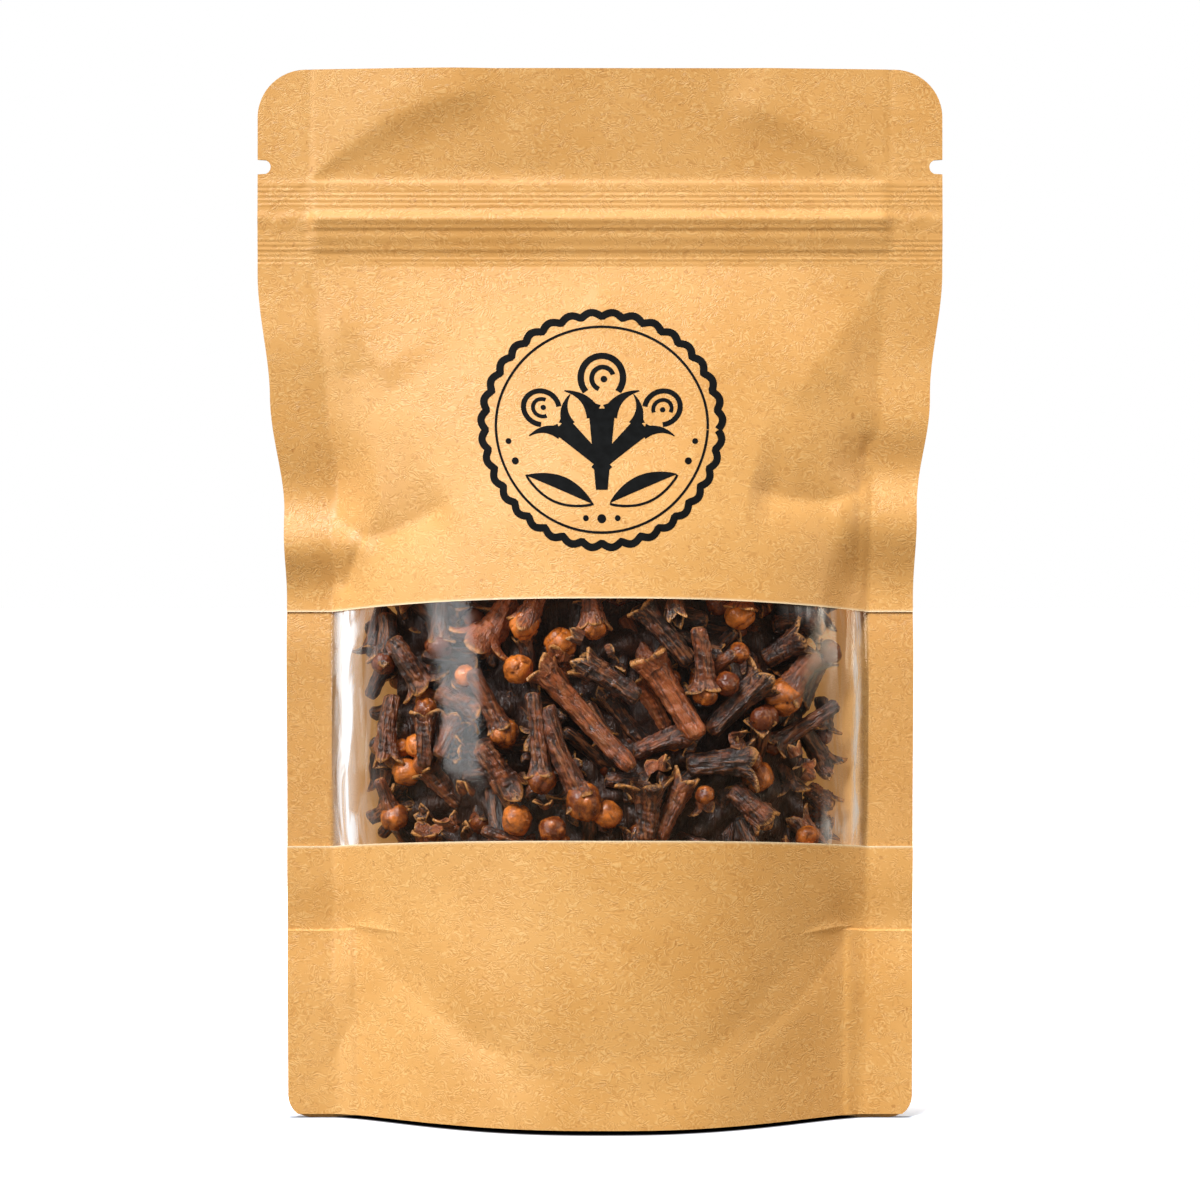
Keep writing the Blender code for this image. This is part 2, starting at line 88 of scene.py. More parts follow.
soft_box("key_box", -30, 48, 2.4, (0.75, 0.75), 61.5)
soft_box("band_box", -44, 6, 1.3, (0.31, 1.10), 7.2)
soft_box("left_box", -88, 8, 1.0, (0.25, 0.60), 1.3, (1, 0.92, 0.80))
soft_box("right_box", 76, 16, 1.0, (0.25, 0.50), 2.8, (1, 0.84, 0.62))
soft_box("back_box", 180, 45, 1.2, (0.8, 0.6), 5.0)


# %% Helpers for shader nodes
def add(tree, kind, settings=None, inputs=None):
    """Adds a node, sets its properties, and gives each input a value or another node's output."""
    made = tree.nodes.new(kind)
    for key, value in (settings or {}).items():
        setattr(made, key, value)
    for key, value in (inputs or {}).items():
        if isinstance(value, bpy.types.NodeSocket):
            tree.links.new(value, made.inputs[key])
        else:
            made.inputs[key].default_value = value
    return made


def sums(tree, operation, first, second=0.0, clamp=False):
    """One Math node's output."""
    made = add(tree, "ShaderNodeMath", {"operation": operation, "use_clamp": clamp},
               {0: first, 1: second})
    return made.outputs[0]


def fade(tree, value, low, high, start=0.0, end=1.0):
    """A smooth step from start to end as value goes from low to high."""
    made = add(tree, "ShaderNodeMapRange", {"interpolation_type": "SMOOTHSTEP"},
               {"Value": value, "From Min": low, "From Max": high, "To Min": start, "To Max": end})
    return made.outputs["Result"]


def blend(tree, factor, first, second, kind="MIX"):
    """Two colours mixed."""
    made = add(tree, "ShaderNodeMix", {"data_type": "RGBA", "blend_type": kind},
               {0: factor, 6: first, 7: second})
    return made.outputs[2]


def noise(tree, place, scale, detail=2.0, rough=0.5, bend=0.0):
    """A noise pattern's value. Scale is in cells a metre."""
    made = add(tree, "ShaderNodeTexNoise", None, {
        "Vector": place, "Scale": scale, "Detail": detail, "Roughness": rough, "Distortion": bend})
    return made.outputs[0]


def stretched(tree, place, scale, shift=(0, 0, 0)):
    """Coordinates scaled and shifted, so that a pattern runs along one axis or moves."""
    made = add(tree, "ShaderNodeMapping", None, {"Vector": place, "Scale": scale, "Location": shift})
    return made.outputs[0]


def new_material(name):
    """An empty material, its tree, its output and the object's own coordinates."""
    made = bpy.data.materials.new(name)
    made.use_nodes = True
    tree = made.node_tree
    tree.nodes.clear()
    place = add(tree, "ShaderNodeTexCoord").outputs["Object"]
    return made, tree, add(tree, "ShaderNodeOutputMaterial"), place


def surface(tree, output, **values):
    """A Principled BSDF wired to the output. Keywords are its inputs, spaces as underscores."""
    shader = add(tree, "ShaderNodeBsdfPrincipled", None,
                 {key.replace("_", " "): value for key, value in values.items()})
    tree.links.new(shader.outputs[0], output.inputs["Surface"])
    return shader


def attribute(tree, name):
    """A value stored on the mesh's points."""
    return add(tree, "ShaderNodeAttribute", {"attribute_name": name}).outputs["Fac"]


def group_of(name, inputs, outputs):
    """An empty node group with named sockets, and its input and output nodes."""
    made = bpy.data.node_groups.new(name, "ShaderNodeTree")
    for label, kind in inputs:
        made.interface.new_socket(label, in_out="INPUT", socket_type=kind)
    for label, kind in outputs:
        made.interface.new_socket(label, in_out="OUTPUT", socket_type=kind)
    return made, add(made, "NodeGroupInput"), add(made, "NodeGroupOutput")


# %% [markdown]
# The surroundings look white to the camera, but light the pouch mostly from above, as a studio
# tent does. The floor is plain and pale; it sends back less light than it shows, so that the
# paper isn't lit from below. Under the pouch and close to its rim a shadow is painted into the
# floor's colour, which is what keeps the thin dark line below the paper's edge.

# %% Surroundings and floor
world = bpy.data.worlds.new("studio")
bpy.context.scene.world = world
world.use_nodes = True
tree = world.node_tree
tree.nodes.clear()
way = add(tree, "ShaderNodeTexCoord").outputs["Generated"]
height = add(tree, "ShaderNodeSeparateXYZ", None, {0: way}).outputs[2]
tent = sums(tree, "ADD", sums(tree, "MULTIPLY", sums(tree, "POWER", sums(
    tree, "MAXIMUM", height, 0.0), 2.0), 0.75), 0.11)
seen = add(tree, "ShaderNodeLightPath").outputs["Is Camera Ray"]
white = add(tree, "ShaderNodeBackground", None, {"Color": (1, 1, 1, 1), "Strength": 1.0})
soft = add(tree, "ShaderNodeBackground", None, {"Color": (1, 0.94, 0.83, 1), "Strength": tent})
both = add(tree, "ShaderNodeMixShader", None, {0: seen, 1: soft.outputs[0], 2: white.outputs[0]})
add(tree, "ShaderNodeOutputWorld", None, {"Surface": both.outputs[0]})

FOOT_REACH, FOOT_DEEP, FOOT_CORNER = 0.043, 0.0178, 0.0492
floor_material, tree, output, place = new_material("studio_floor")
seen = add(tree, "ShaderNodeLightPath").outputs["Is Camera Ray"]
spot = add(tree, "ShaderNodeSeparateXYZ", None, {0: place}).outputs
aside, ahead = sums(tree, "ABSOLUTE", spot[0]), sums(tree, "ABSOLUTE", spot[1])
share = sums(tree, "POWER", sums(tree, "DIVIDE", aside, FOOT_REACH, True), 2.4)
rim = sums(tree, "MULTIPLY", sums(tree, "POWER", sums(tree, "SUBTRACT", 1.0, share), 1.55), FOOT_DEEP)
away = sums(tree, "MAXIMUM", sums(tree, "SUBTRACT", ahead, rim),
            sums(tree, "SUBTRACT", aside, FOOT_CORNER))
# Painted shadow: the floor is near black under the pouch and brightens to full within 30 mm of its rim.
painted_shadow_fade = sums(tree, "ADD", fade(tree, away, -0.0004, 0.0016, 0.0, 0.42),
                  fade(tree, away, 0, 0.03, 0, 0.58))
shade = blend(tree, painted_shadow_fade, (0.01, 0.01, 0.01, 1), (2.4, 2.6, 3.0, 1))
shown = add(tree, "ShaderNodeBsdfDiffuse", None, {"Color": shade})
sent = add(tree, "ShaderNodeBsdfDiffuse", None, {"Color": (0.16, 0.135, 0.10, 1)})
both = add(tree, "ShaderNodeMixShader", None, {0: seen, 1: sent.outputs[0], 2: shown.outputs[0]})
tree.links.new(both.outputs[0], output.inputs["Surface"])

floor_mesh = bpy.data.meshes.new("floor")
floor_mesh.from_pydata([(-30, -30, 0), (30, -30, 0), (30, 30, 0), (-30, 30, 0)], [], [(0, 1, 2, 3)])
floor_mesh.materials.append(floor_material)
floor = bpy.data.objects.new("floor", floor_mesh)
bpy.context.scene.collection.objects.link(floor)
print("floor and surroundings are white to the camera")

# %% [markdown]
# ## The flat pattern
#
# A real pouch is two flat panels sealed at their sides, with a folded gusset at the bottom; it
# only becomes round when it is filled. So the shape starts as a flat rectangle and each
# effect of filling it is one short function: the belly, the drawn-in sides, the zip, the dents.
# The same functions then serve the front, the back, the window strip and the print.

# %% Sizes of the pouch
HALF_WIDTH, HEIGHT = 55 * MM, 170 * MM
SEAL_LINE = 47 * MM
GUSSET = 30.5 * MM
FULL_DEPTH = 18 * MM
ZIP_FOOT, ZIP_HEAD, RISE = 138 * MM, 151.5 * MM, 90 * MM
STANDING_HEIGHT = 168.3 * MM
WINDOW_LOW, WINDOW_HIGH = 44 * MM, 82 * MM
PAPER = 0.2 * MM
FRONT_FIN, BACK_FIN = 0.30 * MM, 0.22 * MM
TOP_CORNER, LOW_CORNER = 7.8 * MM, 3.8 * MM
NOTCH_HEIGHT, NOTCH_DEPTH, NOTCH_HALF = 154.2 * MM, 2.1 * MM, 1.2 * MM
DRAWN_IN = ((0, 4.9), (44, 4.7), (84, 4.6), (98, 4.2), (117, 2.0), (137, 0), (170, 0))


def smooth(t):
    """0 below 0, 1 above 1, and an even S between."""
    t = np.clip(t, 0.0, 1.0)
    return t * t * (3 - 2 * t)


def bump(distance, width):
    """A bell: 1 at distance 0, fading over width."""
    return np.exp(-((distance / width) ** 2))


def through(points, v):
    """A smooth line through (height, value) points, both in mm."""
    v = np.asarray(v, float)
    heights = np.array([p[0] for p in points]) * MM
    values = np.array([p[1] for p in points]) * MM
    at = np.clip(np.searchsorted(heights, v, side="right") - 1, 0, len(heights) - 2)
    t = (v - heights[at]) / (heights[at + 1] - heights[at])
    return values[at] + (values[at + 1] - values[at]) * smooth(t)


# %% [markdown]
# ## The filled shape
#
# The belly is a quarter sine wave up the pouch times a rounded bow across it. The gusset's
# seal is a curve that is lowest in the middle. Dents are tents: flat triangles round an apex,
# because stiff paper can't stretch, so it buckles into flat facets with sharp lines between.

# %% Belly, gusset seal and dents
def belly(u):
    """1 in the middle of the pouch and 0 at the side seals: 1 - |u / seal line| ** 2.4."""
    return 1 - np.clip(np.abs(u) / SEAL_LINE, 0, 1) ** 2.4


def half_depth(v):
    """How far the middle of the belly stands out: a quarter sine from the zip down."""
    filled = np.sin(0.5 * math.pi * np.clip((ZIP_FOOT - v) / RISE, 0, 1))
    return FULL_DEPTH * filled - 1 * MM * smooth(1 - v / GUSSET)


def filled(u, v):
    """The filled panel's distance from the middle plane; low down it is flatter by the seals."""
    return half_depth(v) * belly(u) ** (1 + 0.55 * smooth((58 * MM - v) / (36 * MM)))


def gusset_seal(u):
    """Height of the seal that joins the gusset to a panel: 9 mm in the middle, then rising."""
    rise = np.clip((np.abs(u) - 14 * MM) / (28 * MM), 0, 1)
    return 9 * MM + (GUSSET - 9 * MM) * (0.35 * smooth(rise) + 0.65 * rise)


# Tents of the front: apex u and v, height over the paper in mm, softness, corners of the base
FRONT_TENTS = (
    (-36.2, 120.0, -0.45, 1.35,
     ((-46.3, 137.3), (-34, 134), (-26, 123), (-28, 113), (-37, 110), (-45.8, 113), (-46.2, 126))),
    (45.9, 108.4, -0.85, 1.30, ((43.6, 111), (47.8, 111), (49.4, 107.4), (46.2, 105.2), (43.8, 106.6))),
    (39.8, 120, 0.7, 1.40,
     ((45.7, 137.3), (46.4, 127), (45.6, 114), (40, 111), (29, 116), (26, 127), (36, 135))),
    (-40.5, 30.6, 0.30, 1.20, ((-44.9, 31), (-40.6, 32), (-33, 29.6), (-40.6, 29.5))),
    (40.8, 30.6, 0.30, 1.20, ((45.4, 31), (41, 32), (34, 29.4), (41, 29.5))),
)
BACK_TENTS = (
    (-39.4, 127, 0.8, 1.10, ((-46.3, 137.3), (-30, 133), (-29, 120), (-35, 120), (-45.8, 121), (-46.2, 128))),
    (40.0, 126, 0.8, 1.20, ((45.7, 137.3), (46.4, 126), (44.6, 115), (37, 117), (28, 124), (31, 134))),
    (-37.5, 95, -1.8, 1.10, ((-45.6, 97.6), (-43, 103), (-34, 104), (-25, 98), (-29, 88), (-40, 90))),
    (38.0, 104, -1.8, 1.10, ((25, 105), (33, 110), (41, 111), (46, 104), (42, 96), (30, 97))),
)


def tents(u, v, listed):
    """Facets: 1 at an apex, falling in flat triangles to 0 at the sides of a polygon round it."""
    total = np.zeros(np.broadcast(u, v).shape)
    for apex_u, apex_v, height, softness, base in listed:
        du, dv = u - apex_u * MM, v - apex_v * MM
        corners = (np.array(base) - (apex_u, apex_v)) * MM
        share = np.zeros(total.shape)
        for a, b in zip(corners, np.roll(corners, -1, axis=0)):
            area = a[0] * b[1] - a[1] * b[0]
            s, t = (du * b[1] - dv * b[0]) / area, (a[0] * dv - a[1] * du) / area
            share = np.where((s >= 0) & (t >= 0), np.maximum(share, 1 - s - t), share)
        total = total + height * MM * np.clip(share, 0, 1) ** softness
    return total


# %% [markdown]
# ## Creases and unevenness
#
# Stiff paper doesn't only bend, it also folds: a crease is a sharp line whose two sides meet
# at an angle. Each one here is a bent line with a profile that may be steeper on one side.
# Over everything lies a slight unevenness, a sum of long waves in random directions.

# %% Creases
# Height over the paper, width left and right of the line, sharpness (1 a crease, 2 a soft
# valley), and the line's points u, v, all in mm
FRONT_CREASES = (
    (1.10, 8.0, 3.8, 1.7, ((-46.8, 152.2), (-42.5, 156.0), (-34, 162.2), (-25.5, 165.6), (-16, 167.5))),
    (0.90, 3.8, 7.5, 1.6, ((45.9, 152.2), (40, 156.4), (34, 160), (26, 163.4), (20, 165))),
    (-1.75, 6.5, 4.2, 1.1, ((-46.1, 97.4), (-41.2, 93.4), (-36.5, 93.8), (-31, 95.6), (-25.5, 98.6))),
    (-0.95, 1.2, 3.8, 1.0, ((-41.2, 93.2), (-43.4, 88.4), (-45.0, 84.2))),
    (-2.0, 3.8, 6.0, 1.1, ((44.8, 101.4), (39.5, 99.3), (33, 99.2), (25.5, 100.4))),
    (-0.22, 3.0, 1.2, 1.8, ((-22, 153.6), (-13, 153.2), (-6, 153.4))),
    (0.95, 7.5, 3.4, 1.1, ((-46.3, 137.4), (-41.6, 129.5), (-36.6, 122.0), (-33.5, 117.5))),
    (0.50, 3.4, 8.0, 1.2, ((45.8, 137.3), (40, 128), (34, 119), (31, 114))),
    (-0.22, 1.6, 2.4, 1.2, ((-46, 120.2), (-41, 120.4), (-36.2, 121.2))),
    (-0.60, 1.8, 0.6, 1.0, ((-46.3, 137.3), (-46.2, 121.8), (-46, 108), (-45.7, 97.3))),
    (-0.30, 2.2, 2.2, 1.5, ((36, 122), (39.4, 117), (42.6, 112.4), (45.6, 109.2))),
    (-0.36, 1.0, 1.6, 1.0, ((45.9, 107.5), (45.3, 104.5), (44.9, 100.6), (44.9, 94), (44.8, 84))),
    (-0.26, 1.0, 0.8, 1.0, ((46.3, 136.5), (46.5, 124), (46.3, 112))),
    (-0.42, 2.4, 1.0, 1.1, ((-45.6, 97.4), (-42.6, 95.2), (-40.4, 93))),
    (-0.50, 5.0, 2.6, 1.2, ((-43.8, 30.2), (-35.9, 23.6), (-29, 17.8), (-22, 13.6), (-13, 10.8))),
    (-0.36, 2.0, 5.0, 1.1, ((44.6, 30.4), (41.2, 26.3), (36.1, 20.8), (30.3, 16.2), (22.5, 11.6))),
    (-0.34, 2.4, 1.6, 1.1, ((-43, 29.4), (-43.4, 16), (-47.2, 9.3), (-52.6, 4))),
    (0.30, 1.4, 2.4, 1.1, ((44.0, 29.4), (44.8, 17), (47.6, 9.3), (50.8, 4.6))),
    (0.20, 2.4, 1.6, 1.4, ((-0.8, 136.8), (-0.4, 133), (0, 127))),
    (0.16, 5, 4, 1.8, ((12, 131), (20, 118))),
    (-0.20, 5, 5, 1.8, ((-20, 126), (-30, 112))),
    (0.36, 2.2, 3.4, 1.2, ((-15, 10.8), (-4, 9.0), (7, 8.9), (20, 10.6))),
)
BACK_CREASES = (
    (0.40, 4.5, 2.2, 1.1, ((-46.3, 137.2), (-40, 127), (-34, 119))),
    (0.40, 2.2, 4.5, 1.1, ((46, 137.2), (40, 127), (35, 119))),
    (-0.36, 1.6, 0.8, 1.0, ((-46.3, 136.5), (-46.1, 118), (-45.7, 97.3))),
    (-0.36, 0.8, 1.6, 1.0, ((46.3, 136.5), (46.2, 118), (45.4, 103))),
    (-0.60, 5.0, 2.0, 1.2, ((-43.8, 30.2), (-36, 23.6), (-29, 18), (-16, 11.8))),
    (-0.60, 2.0, 5.0, 1.2, ((44.4, 30.2), (36, 23.4), (29, 17.6), (18, 11.8))),
    (-0.60, 3.0, 3.4, 1.4, ((46, 152), (38, 158), (27, 164))),
    (-0.34, 2.4, 1.6, 1.1, ((-43, 29.4), (-43.4, 16), (-47.2, 9.3), (-52.6, 4))),
    (-0.34, 1.6, 2.4, 1.1, ((43, 29.4), (43.4, 16), (47.2, 9.3), (52.6, 4))),
)


def creases(u, v, listed):
    """Folds along bent lines: exp(-(distance / width) ** sharpness).

    Each starts narrow and low and grows at an even slope, like a cone, then fades out.
    """
    total = np.zeros(np.broadcast(u, v).shape)
    for height, left, right, sharpness, points in listed:
        points = np.array(points) * MM
        runs = np.hypot(*np.diff(points, axis=0).T)
        nearest, place, on_left = np.full(total.shape, 1.0), 0 * total, total > 0
        from_start = np.hypot(u - points[0][0], v - points[0][1]) / runs.sum()
        for k, run in enumerate(runs):
            way = (points[k + 1] - points[k]) / run
            du, dv = u - points[k][0], v - points[k][1]
            t = np.clip(du * way[0] + dv * way[1], 0, run)
            off = np.hypot(du - t * way[0], dv - t * way[1])
            closer = off < nearest
            nearest = np.where(closer, off, nearest)
            place = np.where(closer, (runs[:k].sum() + t) / runs.sum(), place)
            on_left = np.where(closer, way[0] * dv - way[1] * du > 0, on_left)
        grown = 0.30 + 0.70 * smooth(from_start / 0.5)
        width = np.where(on_left, left, right) * MM * grown
        fading = grown * smooth((1.04 - place) / 0.26)
        total = total + height * MM * fading * np.exp(-((nearest / width) ** sharpness))
    return total


def unevenness(u, v, seed):
    """A sum of 16 plane waves 13 to 50 mm long in random directions, about 0.2 mm high."""
    draw = np.random.default_rng(seed)
    total = np.zeros(np.broadcast(u, v).shape)
    for length in np.geomspace(13, 50, 16) * MM:
        way, start = draw.uniform(0, 2 * math.pi, 2)
        wave = np.cos(2 * math.pi * (u * math.cos(way) + v * math.sin(way)) / length + start)
        total = total + wave * length * 0.0016
    return total


print("a crease and the waves at (0, 120) mm, in mm:",
      np.round(creases(0, 120 * MM, FRONT_CREASES) / MM, 3),
      np.round(unevenness(0, 120 * MM, 3) / MM, 3))

# %% [markdown]
# ## The zip and the side seals
#
# The zip's two halves are welded inside, and the paper shows them: a lower flange, the bead
# of the closure and an upper flange pressed with fine ribs. The side seals press the same
# relief nearly flat. Below the gusset's fold the seals hold two more layers, so they step out.

# %% Zip, ribs and seals
ZIP_RELIEF = (
    (134.6, 0), (138.2, 0.02), (139.9, 0.06), (141.0, 0.40), (143.0, 0.76), (143.6, 0.78), (144.4, 1.10),
    (145.6, 1.40), (147.4, 0.62), (151.2, 0.42), (151.5, 0.36), (152.1, 0.04), (154, 0),
)


def ribs(v, low, high, pitch):
    """Fine level ribs between two heights: a cosine of the height."""
    inside = smooth((v - low * MM) / (0.5 * MM)) * smooth((high * MM - v) / (0.5 * MM))
    return inside * np.cos(2 * math.pi * v / (pitch * MM))


def zip_relief(u, v):
    """The zip, full between the seals and pressed to a third of its height on them."""
    between = smooth((47.5 * MM - np.abs(u)) / (2.4 * MM))
    wavy = 0.35 * MM * np.sin(u / MM * 1.3) + 0.2 * MM * np.sin(u / MM * 3.1)
    full = through(ZIP_RELIEF, v) + 0.045 * MM * ribs(v, 147.2, 150.6, 0.85)
    full = full + 0.035 * MM * ribs(v, 138.3, 140.3, 0.8) * smooth((u + 40 * MM) / (6 * MM))
    pressed = 0.30 * through(ZIP_RELIEF, v + wavy * bump(v - 144 * MM, 3 * MM))
    pressed = pressed + 0.04 * MM * (ribs(v, 147.4, 151.4, 0.8) + ribs(v, 138.0, 142.8, 0.8))
    return between * full + (1 - between) * pressed


def seal_relief(u, v):
    """On the side seals: a step out below the gusset's fold, and faint ribs by the top."""
    on_seal = smooth((np.abs(u) - 42.6 * MM) / (1.2 * MM))
    step = 0.32 * MM * smooth((GUSSET - v) / (0.3 * MM))
    top = 0.02 * MM * ribs(v, 153, 168, 1.1) * smooth((u - 46.5 * MM) / MM)
    line = 0.12 * MM * bump(np.abs(u) - 46.6 * MM, 0.45 * MM) * smooth((v - 152 * MM) / MM)
    return on_seal * step + top - line


def seal_groove(u, v):
    """The shallow valley along the gusset's seal, with a fine line at its bottom."""
    off = v - gusset_seal(u)
    deep = 0.38 * MM * bump(off, 4.5 * MM) + 0.06 * MM * np.exp(-np.abs(off) / (0.7 * MM))
    return deep * belly(u)


# %% Waves of the side seals
# Height v, half length along the edge, and how far the edge bends, in mm
LEFT_WAVES = ((101, 7, 1.5), (93.0, 5.0, -1.5), (85.0, 6, 1.3), (125, 8, -0.8), (30.5, 6, 0.8))
RIGHT_WAVES = ((105, 6, 1.3), (111.5, 6, -0.7), (96.8, 6, -1.4), (85, 7, 1.4), (125, 10, 0.4), (30.5, 6, 0.8))


def fin_bend(u, v):
    """Waves of the side seals, shared by the front and the back: a sum of bells."""
    left = sum(d * bump(v / MM - h, r) for h, r, d in LEFT_WAVES)
    right = sum(d * bump(v / MM - h, r) for h, r, d in RIGHT_WAVES)
    reach = smooth((np.abs(u) - 38 * MM) / (6 * MM))
    return MM * reach * np.where(u < 0, left, right)


# %% [markdown]
# ## From the flat pattern into space
#
# `panel_depth` adds all relief to the belly, and `place_at` turns (u, v, depth) into x, y, z:
# the sides draw in where the belly is full, and the middle of the window lifts a little,
# because paper that bows out has to come from somewhere.

# %% Panels
def panel_depth(u, v, front_side):
    """Distance of a panel's outer face from the middle plane."""
    inside = smooth((SEAL_LINE + 0.6 * MM - np.abs(u)) / (2.4 * MM))
    header = np.clip((v - ZIP_HEAD) / (HEIGHT - ZIP_HEAD), 0, 1)
    swell = (1.5 * header if front_side else 0.8 * np.sin(math.pi * 0.62 * header)) * MM * belly(u)
    listed = (FRONT_TENTS, FRONT_CREASES, 3) if front_side else (BACK_TENTS, BACK_CREASES, 8)
    pressed = seal_groove(u, v) - tents(u, v, listed[0])
    waves = unevenness(u, v, listed[2]) * (0.35 + 0.65 * smooth((ZIP_FOOT - v) / (8 * MM)))
    bowed = filled(u, v) + swell + (waves - pressed) * inside
    folded = creases(u, v, listed[1]) * (0.35 + 0.65 * inside)
    fin = FRONT_FIN if front_side else BACK_FIN
    relief = zip_relief(u, v) + seal_relief(u, v) + folded
    return fin + np.maximum(bowed + relief, -0.05 * MM)


def place_at(u, v, depth):
    """(u, v) of the flat pouch and a signed depth, put in space."""
    x = u * (1 - through(DRAWN_IN, v) / HALF_WIDTH)
    lifted = smooth((ZIP_FOOT - v) / (ZIP_FOOT - WINDOW_HIGH)) * smooth(v / WINDOW_LOW)
    z = v * STANDING_HEIGHT / HEIGHT + 2.2 * MM * lifted * belly(u)
    y = depth + fin_bend(u, v)
    return np.stack(np.broadcast_arrays(x, y, z), axis=-1)


def front(u, v, inwards=0.0):
    """The front panel's outer face, or a face that lies deeper: y = inwards - panel depth."""
    return place_at(u, v, inwards - panel_depth(u, v, True))


def back(u, v, inwards=0.0):
    """The back panel's outer face, or a face that lies deeper: y = panel depth - inwards."""
    return place_at(u, v, panel_depth(u, v, False) - inwards)


def outline(v):
    """Half the flat width at a height: round corners at the top and the foot, tear notches."""
    up = np.clip(v - (HEIGHT - TOP_CORNER), 0, TOP_CORNER)
    down = np.clip(LOW_CORNER - v, 0, LOW_CORNER)
    half = HALF_WIDTH - TOP_CORNER + np.sqrt(TOP_CORNER**2 - up**2)
    half = half - LOW_CORNER + np.sqrt(LOW_CORNER**2 - down**2)
    off = np.clip(np.abs(v - NOTCH_HEIGHT), 0, NOTCH_HALF)
    slot = NOTCH_DEPTH - NOTCH_HALF + np.sqrt(NOTCH_HALF**2 - off**2)
    return half - slot * (np.abs(v - NOTCH_HEIGHT) <= NOTCH_HALF)


print("half width at the notch and at mid height, in mm:",
      np.round(outline(np.array([154.2, 90]) * MM) / MM, 2))


# %% [markdown]
# ## Grids and sheets
#
# Columns lie closer at the side seals and rows closer at the zip, the corners and the
# notches, where the relief is fine. Beyond the seal line the columns squeeze together to
# follow the outline, so a grid that is square in (u, v) still gets round corners. A sheet is
# an outer and an inner grid stitched together all round its rim, a closed solid.

# %% Columns and rows
def columns():
    """Column positions from -1 to 1 across, as flat u in mm, closer at the seals."""
    steps = np.concatenate([np.arange(0, 24, 0.75), np.arange(24, 55, 0.42), [55.0]])
    return np.concatenate([-steps[:0:-1], steps]) * MM


def rows(low, high, step, extra=()):
    """Heights from low to high in mm, with the extra ones that lie between."""
    even = np.linspace(low, high, max(2, round((high - low) / step) + 1))
    extra = np.array([e for e in extra if low < e < high])
    merged = np.unique(np.round(np.concatenate([even, extra]), 3))
    keep = np.concatenate([[True], np.diff(merged) > 0.015])
    return merged[keep] * MM


def fitted(u, v):
    """Columns squeezed beyond 45 mm so that the last one lies on the outline."""
    half = outline(v)
    beyond = np.maximum(np.abs(u) - 45 * MM, 0) * (half - 45 * MM) / (10 * MM)
    return np.sign(u) * (np.minimum(np.abs(u), 45 * MM) + beyond)


quarter = np.radians(np.linspace(0, 90, 13))
TOP_ROWS = (HEIGHT - TOP_CORNER) / MM + TOP_CORNER / MM * np.sin(quarter)
LOW_ROWS = LOW_CORNER / MM * (1 - np.sin(quarter[::2]))
turn = np.sin(np.radians(np.linspace(-90, 90, 9)))
NOTCH_ROWS = NOTCH_HEIGHT / MM + np.concatenate([NOTCH_HALF / MM * turn, [-1.22, 1.22]])


# %% Meshes from arrays
def signed_volume(points, faces):
    """Six times the volume inside, from a fan of triangles over each face."""
    corners = points[faces]
    total = 0.0
    for k in range(1, faces.shape[1] - 1):
        total += np.einsum("ij,ij->", corners[:, 0], np.cross(corners[:, k], corners[:, k + 1]))
    return total


def make_piece(name, points, faces, material, attributes=None, sharp=35):
    """A mesh object from a list of face arrays, turned to face outwards, shaded smooth."""
    points = np.asarray(points, float).reshape(-1, 3)
    if sum(signed_volume(points, f) for f in faces) < 0:
        faces = [f[:, ::-1] for f in faces]
    sizes = np.concatenate([np.full(len(f), f.shape[1]) for f in faces])
    corners = np.concatenate([f.ravel() for f in faces])
    mesh = bpy.data.meshes.new(name)
    mesh.vertices.add(len(points))
    mesh.vertices.foreach_set("co", points.ravel())
    mesh.loops.add(len(corners))
    mesh.loops.foreach_set("vertex_index", corners)
    mesh.polygons.add(len(sizes))
    mesh.polygons.foreach_set("loop_start", np.concatenate([[0], np.cumsum(sizes)[:-1]]))
    mesh.update(calc_edges=True)
    for key, values in (attributes or {}).items():
        wide = np.size(values) == 3 * len(points)
        made = mesh.attributes.new(key, "FLOAT_VECTOR" if wide else "FLOAT", "POINT")
        made.data.foreach_set("vector" if wide else "value", np.ravel(values))
    mesh.shade_smooth()
    mesh.set_sharp_from_angle(angle=math.radians(sharp))
    mesh.materials.append(material)
    piece = bpy.data.objects.new(name, mesh)
    bpy.context.scene.collection.objects.link(piece)
    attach(piece, "root")
    print(f"{name}: {sum((f.shape[1] - 2) * len(f) for f in faces)} triangles")
    return piece


def grid_faces(count_rows, count_columns, first=0):
    """The four-sided faces of a grid of points."""
    index = first + np.arange(count_rows * count_columns).reshape(count_rows, count_columns)
    return np.stack([index[:-1, :-1], index[:-1, 1:], index[1:, 1:], index[1:, :-1]], -1).reshape(-1, 4)


def stitched(count_rows, count_columns, first=0):
    """Faces of two grids, one after the other, with the rim between them closed."""
    number = count_rows * count_columns
    index = first + np.arange(number).reshape(count_rows, count_columns)
    rim = np.concatenate([index[0, :-1], index[:-1, -1], index[-1, :0:-1], index[:0:-1, 0]])
    after = np.roll(rim, -1)
    side = np.stack([after, rim, rim + number, after + number], -1)
    return [grid_faces(count_rows, count_columns, first),
            grid_faces(count_rows, count_columns, first + number)[:, ::-1], side]


def sheet(name, outer, inner, material, attributes=None, sharp=35):
    """Two grids as the two faces of a thin sheet. Its inner face well inside is "lining"."""
    faces = stitched(*outer.shape[:2])
    attributes = {k: np.concatenate([a.ravel(), a.ravel()]) for k, a in (attributes or {}).items()}
    attributes["own"] = np.concatenate([outer.reshape(-1, 3), inner.reshape(-1, 3)])
    within = smooth((42.2 * MM - np.abs(inner[..., 0])) / (0.8 * MM)).ravel()
    attributes["lining"] = np.concatenate([0 * within, within])
    points = np.concatenate([outer.reshape(-1, 3), inner.reshape(-1, 3)])
    return make_piece(name, points, faces, material, attributes, sharp)
